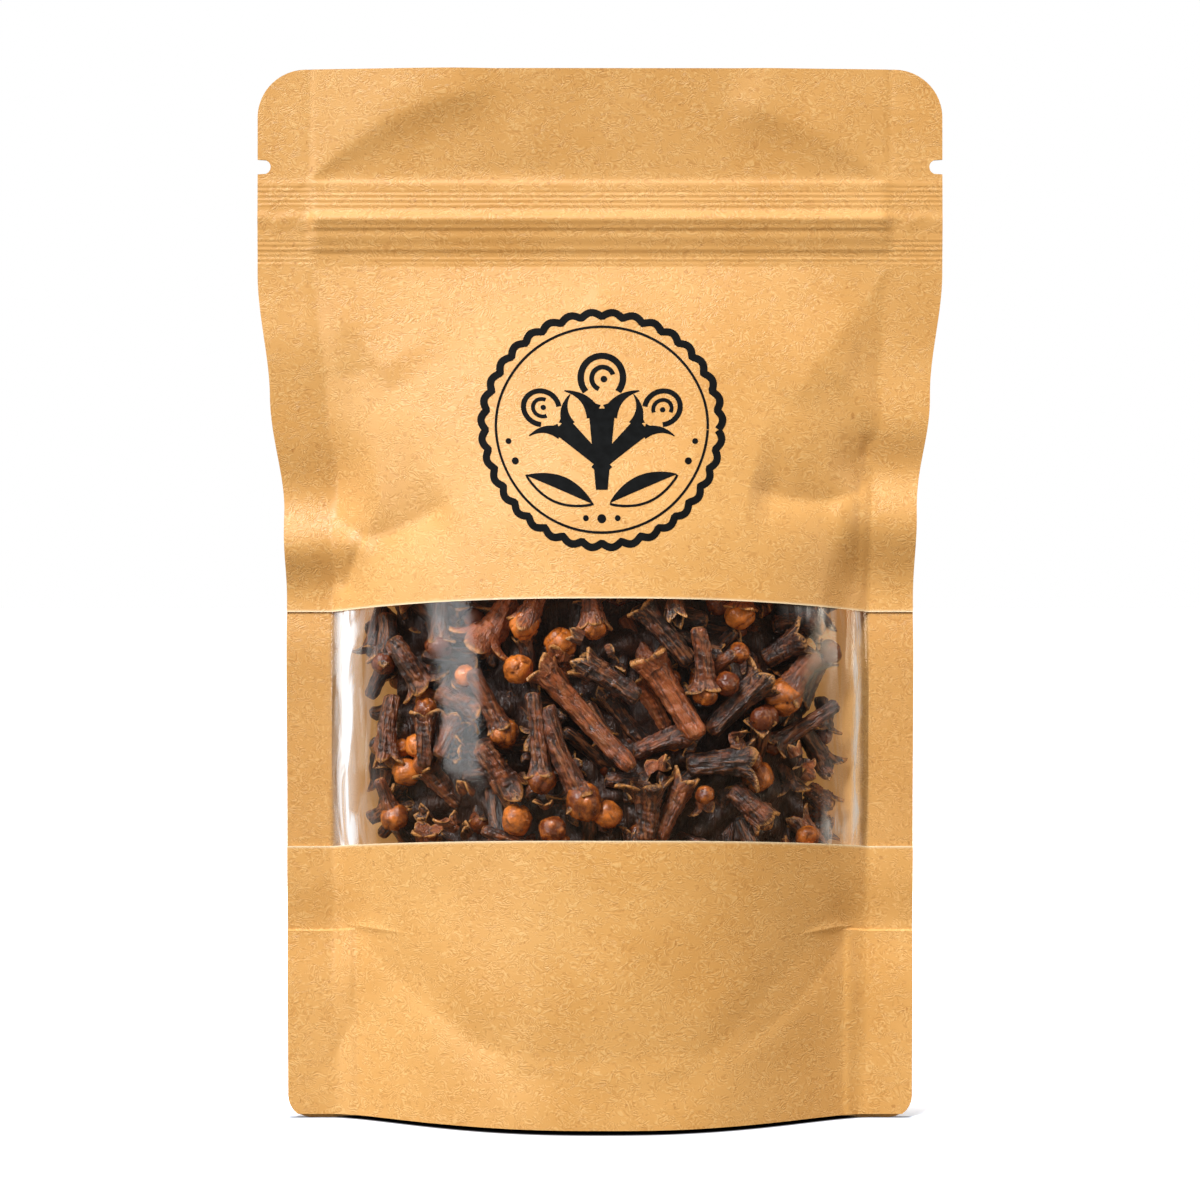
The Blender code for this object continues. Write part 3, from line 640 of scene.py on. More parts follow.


# %% [markdown]
# ## Kraft paper
#
# The paper is tan and matt, with a dense texture of short curled fibres pressed into it. The
# sine of a noise makes lines that run side by side and curl; three sets of them, each kept in
# patches, lie across one another. The same value lifts the surface and tints it: a painted
# highlight on the crests and painted shade between, so the curls stay visible in any light.
# The effect is a node group, because the outside and the inner faces both use it.

# %% The fibre pattern
fibre_group, given, result = group_of(
    "kraft_fibres",
    [("Place", "NodeSocketVector"), ("Curl height", "NodeSocketFloat")],
    [("Pale", "NodeSocketFloat"), ("Dark", "NodeSocketFloat"), ("Specks", "NodeSocketFloat"),
     ("Cloud", "NodeSocketFloat"), ("Height", "NodeSocketFloat")])


def curls(tree, place, scale, shift, turns):
    """Lines that run side by side and curl: the sine of a noise, kept in patches only."""
    moved = stretched(tree, place, (0.75, 0.75, 1.0), shift)
    lines = sums(tree, "SINE", sums(tree, "MULTIPLY", noise(tree, moved, scale, 1.0, 0.4, 0.7), turns))
    patch = fade(tree, noise(tree, moved, scale * 1.5, 1.0), 0.44, 0.60)
    return sums(tree, "MULTIPLY", lines, patch)


where, size = given.outputs["Place"], given.outputs["Curl height"]
lines = sums(fibre_group, "ADD", curls(fibre_group, where, 560, (0.1, 0.2, 0.3), 60.0),
             curls(fibre_group, where, 680, (0.7, 0.1, 0.5), 54.0))
lines = sums(fibre_group, "ADD", lines, curls(fibre_group, where, 460, (0.4, 0.9, 0.8), 68.0))
# Pale marks the crests of the curls and Dark their hollows; they become a painted highlight and painted
# shade.
pale = fade(fibre_group, lines, 0.40, 1.1)
dark = fade(fibre_group, lines, -0.40, -1.1)
specks = fade(fibre_group, noise(fibre_group, where, 900, 1.0), 0.745, 0.79)
cloud = noise(fibre_group, where, 60, 5.0, 0.62)
grain = noise(fibre_group, stretched(fibre_group, where, (0.35, 0.35, 1.6)), 1100, 3.0, 0.6)
high = sums(fibre_group, "ADD", sums(fibre_group, "MULTIPLY", lines, size), grain)
for name, value in (("Pale", pale), ("Dark", dark), ("Specks", specks), ("Cloud", cloud), ("Height", high)):
    fibre_group.links.new(value, result.inputs[name])


# %% The paper's material
def kraft(name, tan, pale_tan, dark_tan, cream, lining):
    """Matt paper: the sheet's tan, fibres, a pale inner face, cream cut edges where "edge" is 1.
    The fibres' crests carry a painted highlight and their hollows painted shade, the inner face
    is partly painted lighter, and painted shade makes the sheet darker towards the top.

    Behind the window the inner face also has a faint warm glow of its own, painted light that
    stands in for the light that soaks through the paper of a real pouch from behind.
    """
    made, tree, output, place = new_material(name)
    fibres = add(tree, "ShaderNodeGroup", {"node_tree": fibre_group}, {"Place": place, "Curl height": 0.8})
    out = fibres.outputs
    colour = blend(tree, fade(tree, out["Cloud"], 0.3, 0.7), tan[0], tan[1])
    # Painted highlight on the fibres' crests and painted shade in their hollows.
    colour = blend(tree, sums(tree, "MULTIPLY", out["Pale"], 0.40), colour, pale_tan)
    colour = blend(tree, sums(tree, "MULTIPLY", out["Dark"], 0.30), colour, dark_tan)
    colour = blend(tree, sums(tree, "MULTIPLY", out["Specks"], 0.5), colour, dark_tan)
    # Painted shade: the colour is scaled from 1.05 at the foot to 0.93 at the top.
    up = add(tree, "ShaderNodeSeparateXYZ", None, {0: place}).outputs[2]
    colour = blend(tree, 1.0, colour, blend(tree, fade(tree, up, 0.0, 0.17), (1.05, 1.05, 1.05, 1),
                                            (0.93, 0.925, 0.92, 1)), "MULTIPLY")
    # Inner face: paler, partly the paper's own inner side and partly painted light, so that it reads as lit
    # where it lies in shade.
    colour = blend(tree, attribute(tree, "lining"), colour, lining)
    # Painted light: a faint warm glow on the inner face behind the window.
    by_window = sums(tree, "MULTIPLY", fade(tree, up, 0.036, 0.042), fade(tree, up, 0.100, 0.092))
    painted_glow = blend(tree, sums(tree, "MULTIPLY", attribute(tree, "lining"), by_window),
                   (0, 0, 0, 1), (0.26, 0.125, 0.036, 1))
    colour = blend(tree, attribute(tree, "edge"), colour, cream)
    relief = add(tree, "ShaderNodeBump", None,
                 {"Strength": 1.0, "Distance": 0.000013, "Height": out["Height"]})
    rough = fade(tree, out["Cloud"], 0.3, 0.7, 0.40, 0.50)
    surface(tree, output, Base_Color=colour, Roughness=rough, Normal=relief.outputs[0],
            Specular_IOR_Level=0.5, Emission_Color=painted_glow, Emission_Strength=1.0)
    return made


paper = kraft("kraft_paper", ((0.695, 0.362, 0.104, 1), (0.755, 0.415, 0.132, 1)),
              (0.92, 0.62, 0.27, 1), (0.43, 0.170, 0.036, 1), (0.93, 0.78, 0.54, 1), (0.88, 0.53, 0.21, 1))
print("paper:", paper.name, "with", len(paper.node_tree.nodes), "nodes")

# %% [markdown]
# ## The front panel
#
# The window strip parts the front panel in two, so the paper is an upper and a lower sheet.
# Their cut edges show as fine cream lines, because the cut face is paler than the surface.
# The rows come closer at those edges, so that the line can be a quarter of a millimetre.

# %% Upper and lower front paper
def edge_band(v, *cuts):
    """1 within a quarter of a millimetre of a cut edge."""
    return sum(bump(v - c, 0.22 * MM) for c in cuts)


u = columns()
zip_rows = np.arange(137.4, 152, 0.2)
v = rows(82, 170, 0.68, np.concatenate([zip_rows, [82.12, 82.25, 82.45], TOP_ROWS, NOTCH_ROWS]))[:, None]
across = fitted(u, v)
front_upper = sheet("front_paper_upper", front(across, v), front(across, v, PAPER), paper,
                    {"edge": edge_band(v, WINDOW_HIGH) + 0 * across})
v = rows(0.6, 44, 0.7, np.concatenate([[43.5, 43.75, 43.88], np.arange(29.7, 31, 0.1), LOW_ROWS]))[:, None]
across = fitted(u, v)
front_lower = sheet("front_paper_lower", front(across, v), front(across, v, PAPER), paper,
                    {"edge": edge_band(v, WINDOW_LOW) + 0 * across})

# %% [markdown]
# ## The back panel and the base
#
# The back is one whole sheet. The base is the gusset, a third sheet folded up between the two
# panels: it hangs from the two curved seals and is pushed down in its middle by the cloves.

# %% Back paper and gusset
v = rows(0, 170, 1.3, np.concatenate([np.arange(137.4, 152, 0.3), LOW_ROWS, TOP_ROWS, NOTCH_ROWS]))[:, None]
across = fitted(u, v)
back_paper = sheet("back_paper", back(across, v), back(across, v, PAPER), paper,
                   {"edge": 0 * v + 0 * across})


def base_sheet(u, q, lower):
    """The gusset, q from -1 at the front seal to 1 at the back one: a bowed arch between."""
    seal = gusset_seal(u) + lower
    ends = front(u, seal, 2 * PAPER), back(u, seal, 2 * PAPER)
    near = np.minimum(ends[0][..., 1], -0.02 * MM)
    far = np.maximum(ends[1][..., 1], 0.02 * MM)
    made = ends[0] * (1 - q[..., None]) / 2 + ends[1] * (1 + q[..., None]) / 2
    made[..., 1] = near * (1 - q) / 2 + far * (1 + q) / 2
    crest = 5 * MM + (GUSSET - 5 * MM) * smooth(np.abs(u) / (42 * MM))
    made[..., 2] += (crest - gusset_seal(u) + 0.5 * MM) * (1 - q**2)
    return made


mid = columns()[::2]
mid = mid[np.abs(mid) < 44.4 * MM][None, :]
q = np.linspace(-1, 1, 41)[:, None] + 0 * mid
mid = mid + 0 * q
base_fold = sheet("base_fold", base_sheet(mid, q, 0.1 * MM), base_sheet(mid, q, 0.3 * MM), paper,
                  {"edge": 0 * q})
for piece in (front_upper, front_lower, back_paper, base_fold):
    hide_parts("pouch")

# %% [markdown]
# ## The window strip
#
# A strip of clear film runs right across the pouch between the two papers, its ends bonded to
# the back panel. It is stiff and glossy, with upright flutes near the side seals. Thin film
# doesn't bend light visibly, so it lets light straight through and adds a mirror-like
# reflection that grows at grazing angles; that is quicker and cleaner than real refraction.
# Where it lies on the seals it is creased and milky white, partly from the seal and partly as a
# painted highlight; two small spots of painted highlight lie inside the window near its right
# end. One value on the mesh says where.

# %% Film surface
def flutes(u, v):
    """Upright waves of the film: strongest by the seals, faint between, uneven up the strip."""
    near_seal = bump(np.abs(u) - 43.5 * MM, 3.2 * MM)
    drift = 0.45 * MM * np.sin(v / MM * 0.21 + np.sign(u)) + 0.12 * MM * np.sin(v / MM * 0.6)
    fine = 0.13 * MM * near_seal * np.cos(2 * math.pi * (u + drift) / (3.4 * MM))
    slow = 0.03 * MM * belly(u) * np.cos(2 * math.pi * (u + 2 * drift) / (17 * MM))
    return fine + slow


def film_surface(u, v, behind):
    """The front panel's bow without its paper relief, a little behind the paper."""
    inside = smooth((SEAL_LINE + 0.2 * MM - np.abs(u)) / (2.0 * MM))
    deep = filled(u, v) + flutes(u, v) * inside
    waves = (0.3 * unevenness(u, v, 3) - seal_groove(u, v)) * inside
    return place_at(u, v, behind - FRONT_FIN - np.maximum(deep + waves, 0))


FILM_BEHIND, FILM = 0.23 * MM, 0.04 * MM
v = rows(42.4, 83.6, 0.6)[:, None]
across = fitted(u, v)

# %% Film material
clear, tree, output, place = new_material("clear_film")
facing = add(tree, "ShaderNodeLayerWeight", None, {"Blend": 0.5}).outputs["Facing"]
mirror = sums(tree, "ADD", sums(tree, "MULTIPLY", sums(tree, "POWER", facing, 4.0), 0.9), 0.013)
upright = stretched(tree, place, (1, 1, 0.16))
ripple = add(tree, "ShaderNodeBump", None, {
    "Strength": 0.25, "Distance": 0.0002, "Height": noise(tree, upright, 190, 1.5)})
gloss = add(tree, "ShaderNodeBsdfGlossy", {"distribution": "BECKMANN"}, {
    "Color": (1, 1, 1, 1), "Roughness": 0.12, "Normal": ripple.outputs[0]})
through_it = add(tree, "ShaderNodeBsdfTransparent", None, {"Color": (0.99, 0.99, 0.99, 1)})
both = add(tree, "ShaderNodeMixShader", None, {0: mirror, 1: through_it.outputs[0], 2: gloss.outputs[0]})
# Milky white: partly the seal's own milkiness, partly a painted highlight.
streaks = fade(tree, noise(tree, stretched(tree, place, (1, 1, 0.14)), 430, 2.5, 0.6, 1.2), 0.40, 0.60)
milky_and_highlight = sums(tree, "MULTIPLY", attribute(tree, "seal_and_highlight"), sums(tree, "ADD", streaks, 0.22), clamp=True)
pale = add(tree, "ShaderNodeBsdfDiffuse", None, {"Color": (0.93, 0.94, 0.97, 1)})
whole = add(tree, "ShaderNodeMixShader", None, {0: milky_and_highlight, 1: both.outputs[0], 2: pale.outputs[0]})
tree.links.new(whole.outputs[0], output.inputs["Surface"])
# Painted highlight: white strips by the seals, partly the seal's own milkiness, and two spots by the right
# end that are painted highlight only.
seal_and_highlight = 0.95 * bump(across + 44.2 * MM, 1.5 * MM) + 0.7 * bump(across - 44.9 * MM, 0.6 * MM)
painted_highlight_spots = 0.45 * bump(across - 41.0 * MM, 1.8 * MM) * bump(v - 46.5 * MM, 3.0 * MM)
painted_highlight_spots = painted_highlight_spots + 0.30 * bump(across - 37 * MM, 3 * MM) * bump(v - 81.4 * MM, 1.4 * MM)
seal_and_highlight = seal_and_highlight + painted_highlight_spots + 0.05 * bump(np.abs(across) - 41 * MM, 2.0 * MM)
seal_and_highlight = 0.95 * np.clip(seal_and_highlight, 0, 1) + 0 * v
film = sheet("window_strip", film_surface(across, v, FILM_BEHIND),
             film_surface(across, v, FILM_BEHIND + FILM), clear, {"seal_and_highlight": seal_and_highlight})
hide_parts("window_film")

# %% [markdown]
# ## The printed badge
#
# A generic stamp in black ink: a scalloped ring, and three cloves fanned out over two leaves.
# Each stroke is a ribbon, a line with a width that changes along it. The ribbon's flat points
# go through the same panel functions as the paper, a twentieth of a millimetre in front of
# it, so the print follows every dent.

# %% Ribbons of ink
BADGE = (0.3, 110.2)


def ribbon(path, widths, steps=2):
    """Points of a flat stroke [along, across, 2]: the path, plus or minus half its width."""
    ahead = np.gradient(path, axis=0)
    ahead /= np.linalg.norm(ahead, axis=1, keepdims=True)
    normal = np.stack([-ahead[:, 1], ahead[:, 0]], -1)
    t = np.linspace(-0.5, 0.5, steps + 1)
    return path[:, None, :] + normal[:, None, :] * (widths[:, None, None] * t[None, :, None])


def turned(points, degrees, shift=(0, 0)):
    """Points turned about the badge's middle, then shifted."""
    a = math.radians(degrees)
    turn = np.array([[math.cos(a), math.sin(a)], [-math.sin(a), math.cos(a)]])
    return points @ turn + np.array(shift)


def ink_solid(strokes):
    """Each stroke laid on the paper as a thin closed solid; all strokes in one list."""
    points, faces, first = [], [], 0
    for stroke in strokes:
        flat = (stroke + np.array(BADGE)) * MM
        top = front(flat[..., 0], flat[..., 1], -0.055 * MM)
        low = front(flat[..., 0], flat[..., 1], -0.015 * MM)
        part = stitched(*top.shape[:2], first)
        both = np.concatenate([top.reshape(-1, 3), low.reshape(-1, 3)])
        if sum(signed_volume(both, f - first) for f in part) < 0:
            part = [f[:, ::-1] for f in part]
        points.append(both)
        faces += part
        first += len(both)
    return np.concatenate(points), faces


# %% The badge's strokes
def arc_line(radius, start, end, count, wave=0.0, lobes=0):
    """Points round a circle whose radius may swell and shrink in lobes."""
    a = np.radians(np.linspace(start, end, count))
    r = radius + wave * np.abs(np.sin(a * lobes / 2)) if lobes else radius + 0 * a
    return np.stack([r * np.cos(a), r * np.sin(a)], -1)


def disc(centre, radius, count=15):
    """A round dot, as a ribbon whose width follows a circle."""
    t = np.linspace(-0.98, 0.98, count)
    path = np.stack([centre[0] + radius * t, centre[1] + 0 * t], -1)
    return ribbon(path, 2 * radius * np.sqrt(1 - t**2), 4)


def line(start, end, start_width, end_width, bow=0.0, count=24):
    """A straight or bowed stroke whose width goes evenly from one end to the other."""
    t = np.linspace(0, 1, count)[:, None]
    start, end = np.array(start, float), np.array(end, float)
    side = np.array([-(end - start)[1], (end - start)[0]])
    path = start + (end - start) * t + side * bow * 4 * t * (1 - t)
    return ribbon(path, start_width + (end_width - start_width) * t[:, 0])


def clove_print(degrees, shift, size=1.0):
    """One clove standing on its stem: tapered stem, four pointed lobes and a petalled bud."""
    strokes = [line((0, -9), (0, 1.4), 1.5, 3.3)]
    strokes += [line((0.9 * s, 0.4), (4.6 * s, 3.7), 2.0, 0.15, 0.16 * s) for s in (-1, 1)]
    strokes += [line((0.5 * s, 1.2), (2.1 * s, 3.1), 1.5, 0.3, -0.1 * s) for s in (-1, 1)]
    strokes += [ribbon(arc_line(2.6, -40, 220, 48) * (1, 1.08) + (0, 5.4), np.full(48, 0.8))]
    strokes += [ribbon(arc_line(1.35, 20, 250, 36) * (1, 1.08) + (0.1, 5.3), np.full(36, 0.6))]
    strokes += [disc((0.25, 5.2), 0.42, 9)]
    return [turned(s * size, degrees, shift) for s in strokes]


def leaf_print(start, end, wide):
    """A pointed leaf: a solid half and an outlined half, on either side of its midrib."""
    t = np.linspace(0, 1, 40)[:, None]
    start, end = np.array(start, float), np.array(end, float)
    side = np.array([-(end - start)[1], (end - start)[0]]) / np.hypot(*(end - start))
    middle = start + (end - start) * t
    bulge = wide * np.sin(math.pi * t) ** 0.8
    solid = np.stack([middle + side * (0.12 + bulge * f) for f in (0, 0.5, 1)], axis=1)
    return [solid, ribbon(middle - side * bulge, np.full(40, 0.42))]


strokes = [ribbon(arc_line(19.3, 0.2, 359.8, 460, 0.8, 36), np.full(460, 1.25))]
strokes += [ribbon(arc_line(17.6, 0.2, 359.8, 240), np.full(240, 0.42))]
strokes += clove_print(0, (0, 1.6), 1.34) + clove_print(46, (-5.8, -0.4), 1.08)
strokes += clove_print(-46, (5.8, -0.4), 1.08)
for s in (-1, 1):
    strokes += leaf_print((1.4 * s, -12.8), (12.8 * s, -7.8), 2.3 * s)
    strokes += [disc((14.6 * s, -5.4), 0.6, 9), disc((15.6 * s, -2.0), 0.5, 9)]
strokes += [disc((0, -15.3), 0.75, 11), disc((2.7, -15.2), 0.5, 9), disc((-2.7, -15.2), 0.5, 9)]
ink, tree, output, place = new_material("black_ink")
worn = fade(tree, noise(tree, place, 700, 3.0), 0.25, 0.75)
shade = blend(tree, worn, (0.0025, 0.003, 0.0035, 1), (0.006, 0.007, 0.008, 1))
surface(tree, output, Base_Color=shade, Roughness=0.7, Specular_IOR_Level=0.08)
points, faces = ink_solid(strokes)
badge = make_piece("printed_badge", points, faces, ink)
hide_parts("pouch")

# %% [markdown]
# ## What a clove is
#
# A clove is a dried flower bud: a four-angled wrinkled stem that widens upwards, four pointed
# sepals that curl out at its top, and the unopened petals folded over each other as a ball.
# Many have lost the ball. Each of these is a profile carried along a line: rings of points
# whose radius depends on the height and the angle. All cloves of a kind are worked out
# at once, with one more array axis that counts the cloves.

# %% Rings into closed tubes
def tube_faces(ring_count, around, clones):
    """Faces of closed tubes: a first point, the rings, a last point, for each clone."""
    block = 2 + ring_count * around
    index = 1 + np.arange(ring_count * around).reshape(ring_count, around)
    beside = np.roll(index, -1, axis=1)
    quads = np.stack([index[:-1], beside[:-1], beside[1:], index[1:]], -1).reshape(-1, 4)
    low = np.stack([0 * index[0], beside[0], index[0]], -1)
    high = np.stack([0 * index[0] + block - 1, index[-1], beside[-1]], -1)
    start = (np.arange(clones) * block)[:, None, None]
    return (quads[None] + start).reshape(-1, 4), (np.concatenate([low, high])[None] + start).reshape(-1, 3)


def closed_tube(low, rings, high):
    """Points of closed tubes, from arrays [clone, 3], [clone, ring, around, 3], [clone, 3]."""
    clones = len(rings)
    return np.concatenate([low[:, None], rings.reshape(clones, -1, 3), high[:, None]], axis=1)


# %% The stem
def stems(c, ring_count, around):
    """Stems about the z axis: radius = taper x rounded square x lengthwise wrinkles."""
    t = np.linspace(0, 1, ring_count)[None, :, None]
    a = np.linspace(0, 2 * math.pi, around, endpoint=False)[None, None, :]
    wide, long, phase = c["wide"][:, None, None], c["long"][:, None, None], c["phase"]
    radius = wide * (0.80 + 0.16 * t + 0.24 * t**5) * (1 + 0.08 * np.cos(4 * a))
    for k, (turns, climbs, deep) in enumerate(
            ((5, 0.6, 0.05), (11, 0.9, 0.045), (3, 3.7, 0.04), (2, 8.3, 0.03), (7, 2.3, 0.04))):
        radius = radius * (1 + deep * np.cos(turns * a + 2 * math.pi * climbs * t + phase[:, k, None, None]))
    radius = radius * (1 - 0.35 * bump(t, 0.03))
    bow = c["bow"][:, None, None, :] * (t * (1 - t) * 4)[..., None] * long[..., None]
    rings = np.stack(np.broadcast_arrays(radius * np.cos(a), radius * np.sin(a), long * t + 0 * a), -1) + bow
    top = rings[:, -1:] * np.array([1, 1, 1])
    cup = [top * np.array([s, s, 1]) + wide[..., None] * np.array([0, 0, h])
           for s, h in ((0.93, 0.16), (0.66, 0.10), (0.34, -0.10))]
    rings = np.concatenate([rings] + cup, axis=1)
    low = np.stack([0 * c["long"], 0 * c["long"], -0.08 * c["wide"]], -1)
    high = np.stack([0 * c["long"], 0 * c["long"], c["long"] - 0.12 * c["wide"]], -1)
    return closed_tube(low, rings, high)


# %% The sepals
def sepals(c, ring_count, around, number):
    """One of the four sepals: an ellipse carried along a curl that bends outwards."""
    b = np.linspace(0, 1, ring_count)[None, :, None]
    a = np.linspace(0, 2 * math.pi, around, endpoint=False)[None, None, :]
    wide, phase = c["wide"][:, None, None], c["phase"][:, number, None, None]
    spread = c["spread"][:, None, None] + 0.28 * np.cos(phase)
    reach = wide * (1.95 + 0.30 * np.sin(2 * phase)) * c["lobe"][:, None, None]
    tilt = spread * (0.35 + 0.65 * b)
    out = wide * 0.74 + reach * b * np.sin(tilt)
    up = c["long"][:, None, None] - 0.50 * wide + reach * b * np.cos(tilt) + 0.22 * wide * b**3
    half = wide * 0.98 * (1 - b**2.6) ** 0.75 + 0.05 * wide
    thick = wide * 0.40 * (1 - 0.60 * b) * (1 + 0.15 * np.cos(3 * a + phase))
    side = half * np.cos(a)
    cupped = 0.35 * half * np.cos(a) ** 2
    lean = np.cos(tilt)
    radial = out + thick * np.sin(a) * lean - cupped * lean
    height = up - thick * np.sin(a) * np.sin(tilt) + cupped * np.sin(tilt)
    twist = math.pi / 2 * number + 0.12 * np.sin(phase)
    x = radial * np.cos(twist) - side * np.sin(twist)
    y = radial * np.sin(twist) + side * np.cos(twist)
    rings = np.stack(np.broadcast_arrays(x, y, height), -1)
    return closed_tube(rings[:, 0].mean(1), rings, rings[:, -1].mean(1))


# %% The bud
def buds(c, ring_count, around):
    """The ball: a squashed sphere with three curved seams where the petals overlap."""
    f = (np.arange(ring_count) + 0.6) / (ring_count + 0.2) * math.pi
    f = f[None, :, None]
    a = np.linspace(0, 2 * math.pi, around, endpoint=False)[None, None, :]
    ball, phase = c["ball"][:, None, None], c["phase"][:, 4, None, None]
    seam = np.abs(np.sin(1.5 * (a + phase) + 1.5 * np.cos(f)))
    fold = np.abs(np.sin(2.5 * (a - phase) + 3.2 * np.cos(f) + 2))
    radius = ball * (1 - 0.22 * np.exp(-seam / 0.11)) * (1 - 0.07 * np.exp(-fold / 0.10))
    radius = radius * (1 + 0.045 * np.cos(3 * a + 4 * f + phase))
    flat = 1.0 + 0.12 * np.cos(phase)
    middle = c["long"] + 0.10 * c["wide"] + 0.62 * c["ball"]
    z = middle[:, None, None] - radius * np.cos(f) * flat
    out = radius * np.sin(f)
    rings = np.stack(np.broadcast_arrays(out * np.cos(a), out * np.sin(a), z), -1)
    zero = 0 * c["long"]
    low = np.stack([zero, zero, middle - c["ball"] * 0.9], -1)
    high = np.stack([zero, zero, middle + c["ball"] * 0.97 * flat[:, 0, 0]], -1)
    # Dark along the seams, passed on as a negative rim for painted shade there.
    dark = np.maximum(np.exp(-seam / 0.14), 0.5 * np.exp(-fold / 0.12)).reshape(len(rings), -1)
    return closed_tube(low, rings, high), -np.pad(dark, ((0, 0), (1, 1)))


# %% [markdown]
# ## Turning and placing the cloves
#
# A clove is known by its foot, its direction and its size. Its own axes turn its points into
# place. Four values stay on the mesh for the material: `tone`, how dark this clove is (for the
# scattered ones darker the deeper they lie, as painted shade), `ball` on the bud, `rim` towards
# the tips of the sepals and the cut foot, golden partly from wear and partly as a painted rim
# highlight (below 0 painted shade in a bud's seams), and `own`, the place within the clove
# itself, so that wrinkles can run along its stem.

# %% Clove meshes
def set_in_place(points, c):
    """Local points turned to each clove's own axes and moved to its foot."""
    axis = c["axis"]
    side = np.cross(axis, np.array([0.0, 1.0, 0.0]))
    side /= np.linalg.norm(side, axis=1, keepdims=True)
    other = np.cross(axis, side)
    spin = c["spin"][:, None]
    side, other = side * np.cos(spin) + other * np.sin(spin), other * np.cos(spin) - side * np.sin(spin)
    turn = np.stack([side, other, axis], axis=1)
    return np.einsum("cpi,cij->cpj", points, turn) + c["foot"][:, None, :]


def clove_piece(name, c, built_of, detail, material):
    """One mesh of many cloves, built of "stem", "sepals" and "ball", with values for the paint.

    What would poke through the film or the back's dents is pressed flat against them.
    """
    rings, around, lobe_rings, lobe_around, ball_rings, ball_around = detail
    parts = []
    if "stem" in built_of:
        body = stems(c, rings, around)
        t = np.clip(body[..., 2] / c["long"][:, None], 0, 1)
        parts.append((body, rings + 3, around, 0.75 * bump(t, 0.035) + 0.35 * bump(t - 1.02, 0.03), 0))
    for k in range(4 if "stem" in built_of else 2 * ("sepals" in built_of)):
        leaf = sepals(c, lobe_rings, lobe_around, k)
        along = np.concatenate([[0], np.repeat(np.linspace(0, 1, lobe_rings), lobe_around), [1]])
        turn = 2 * math.pi * np.arange(lobe_rings * lobe_around) / lobe_around
        side = np.concatenate([[0], np.abs(np.cos(turn)) ** 6, [0]])
        # Golden towards the tip and along the edges: partly wear, partly a painted rim highlight.
        rims = 0.10 + 0.85 * along**1.5 + 0.45 * side
        parts.append((leaf, lobe_rings, lobe_around, rims + 0 * leaf[..., 0], 0))
    if "ball" in built_of:
        ball, dark = buds(c, ball_rings, ball_around)
        parts.append((ball, ball_rings, ball_around, dark, 1))
    points, faces, tone, rim, is_ball, own, first = [], [], [], [], [], [], 0
    for body, count_rings, count_around, rims, flag in parts:
        quads, ends = tube_faces(count_rings, count_around, len(body))
        put = set_in_place(body, c)
        flat = put.reshape(-1, 3)
        flat[:, 1] = np.maximum(flat[:, 1], looked_up(0, flat[:, 0], flat[:, 2]) + 0.08 * MM)
        flat[:, 1] = np.minimum(flat[:, 1], looked_up(2, flat[:, 0], flat[:, 2]) - 0.08 * MM)
        if signed_volume(flat, quads) + signed_volume(flat, ends) < 0:
            quads, ends = quads[:, ::-1], ends[:, ::-1]
        points.append(flat)
        faces += [quads + first, ends + first]
        tone.append(np.repeat(c["tone"], body.shape[1]))
        own.append((body + c["phase"][:, None, :3]).reshape(-1, 3))
        rim.append(rims.ravel())
        is_ball.append(np.full(body[..., 0].size, float(flag)))
        first += body[..., 0].size
    values = {"tone": np.concatenate(tone), "rim": np.concatenate(rim), "ball": np.concatenate(is_ball),
              "own": np.concatenate(own)}
    return make_piece(name, np.concatenate(points), faces, material, values, sharp=70)


# %% [markdown]
# ## The cloves that stand out
#
# The ones nearest the film are laid one by one, as one would when packing a sample: foot x and
# z, top x and z, the stem's width and the ball's radius, all in mm. Behind them a seeded
# scatter fills up. Each clove is a chain of spheres for this purpose, and it moves back from
# the film until its spheres clear every clove laid before it.

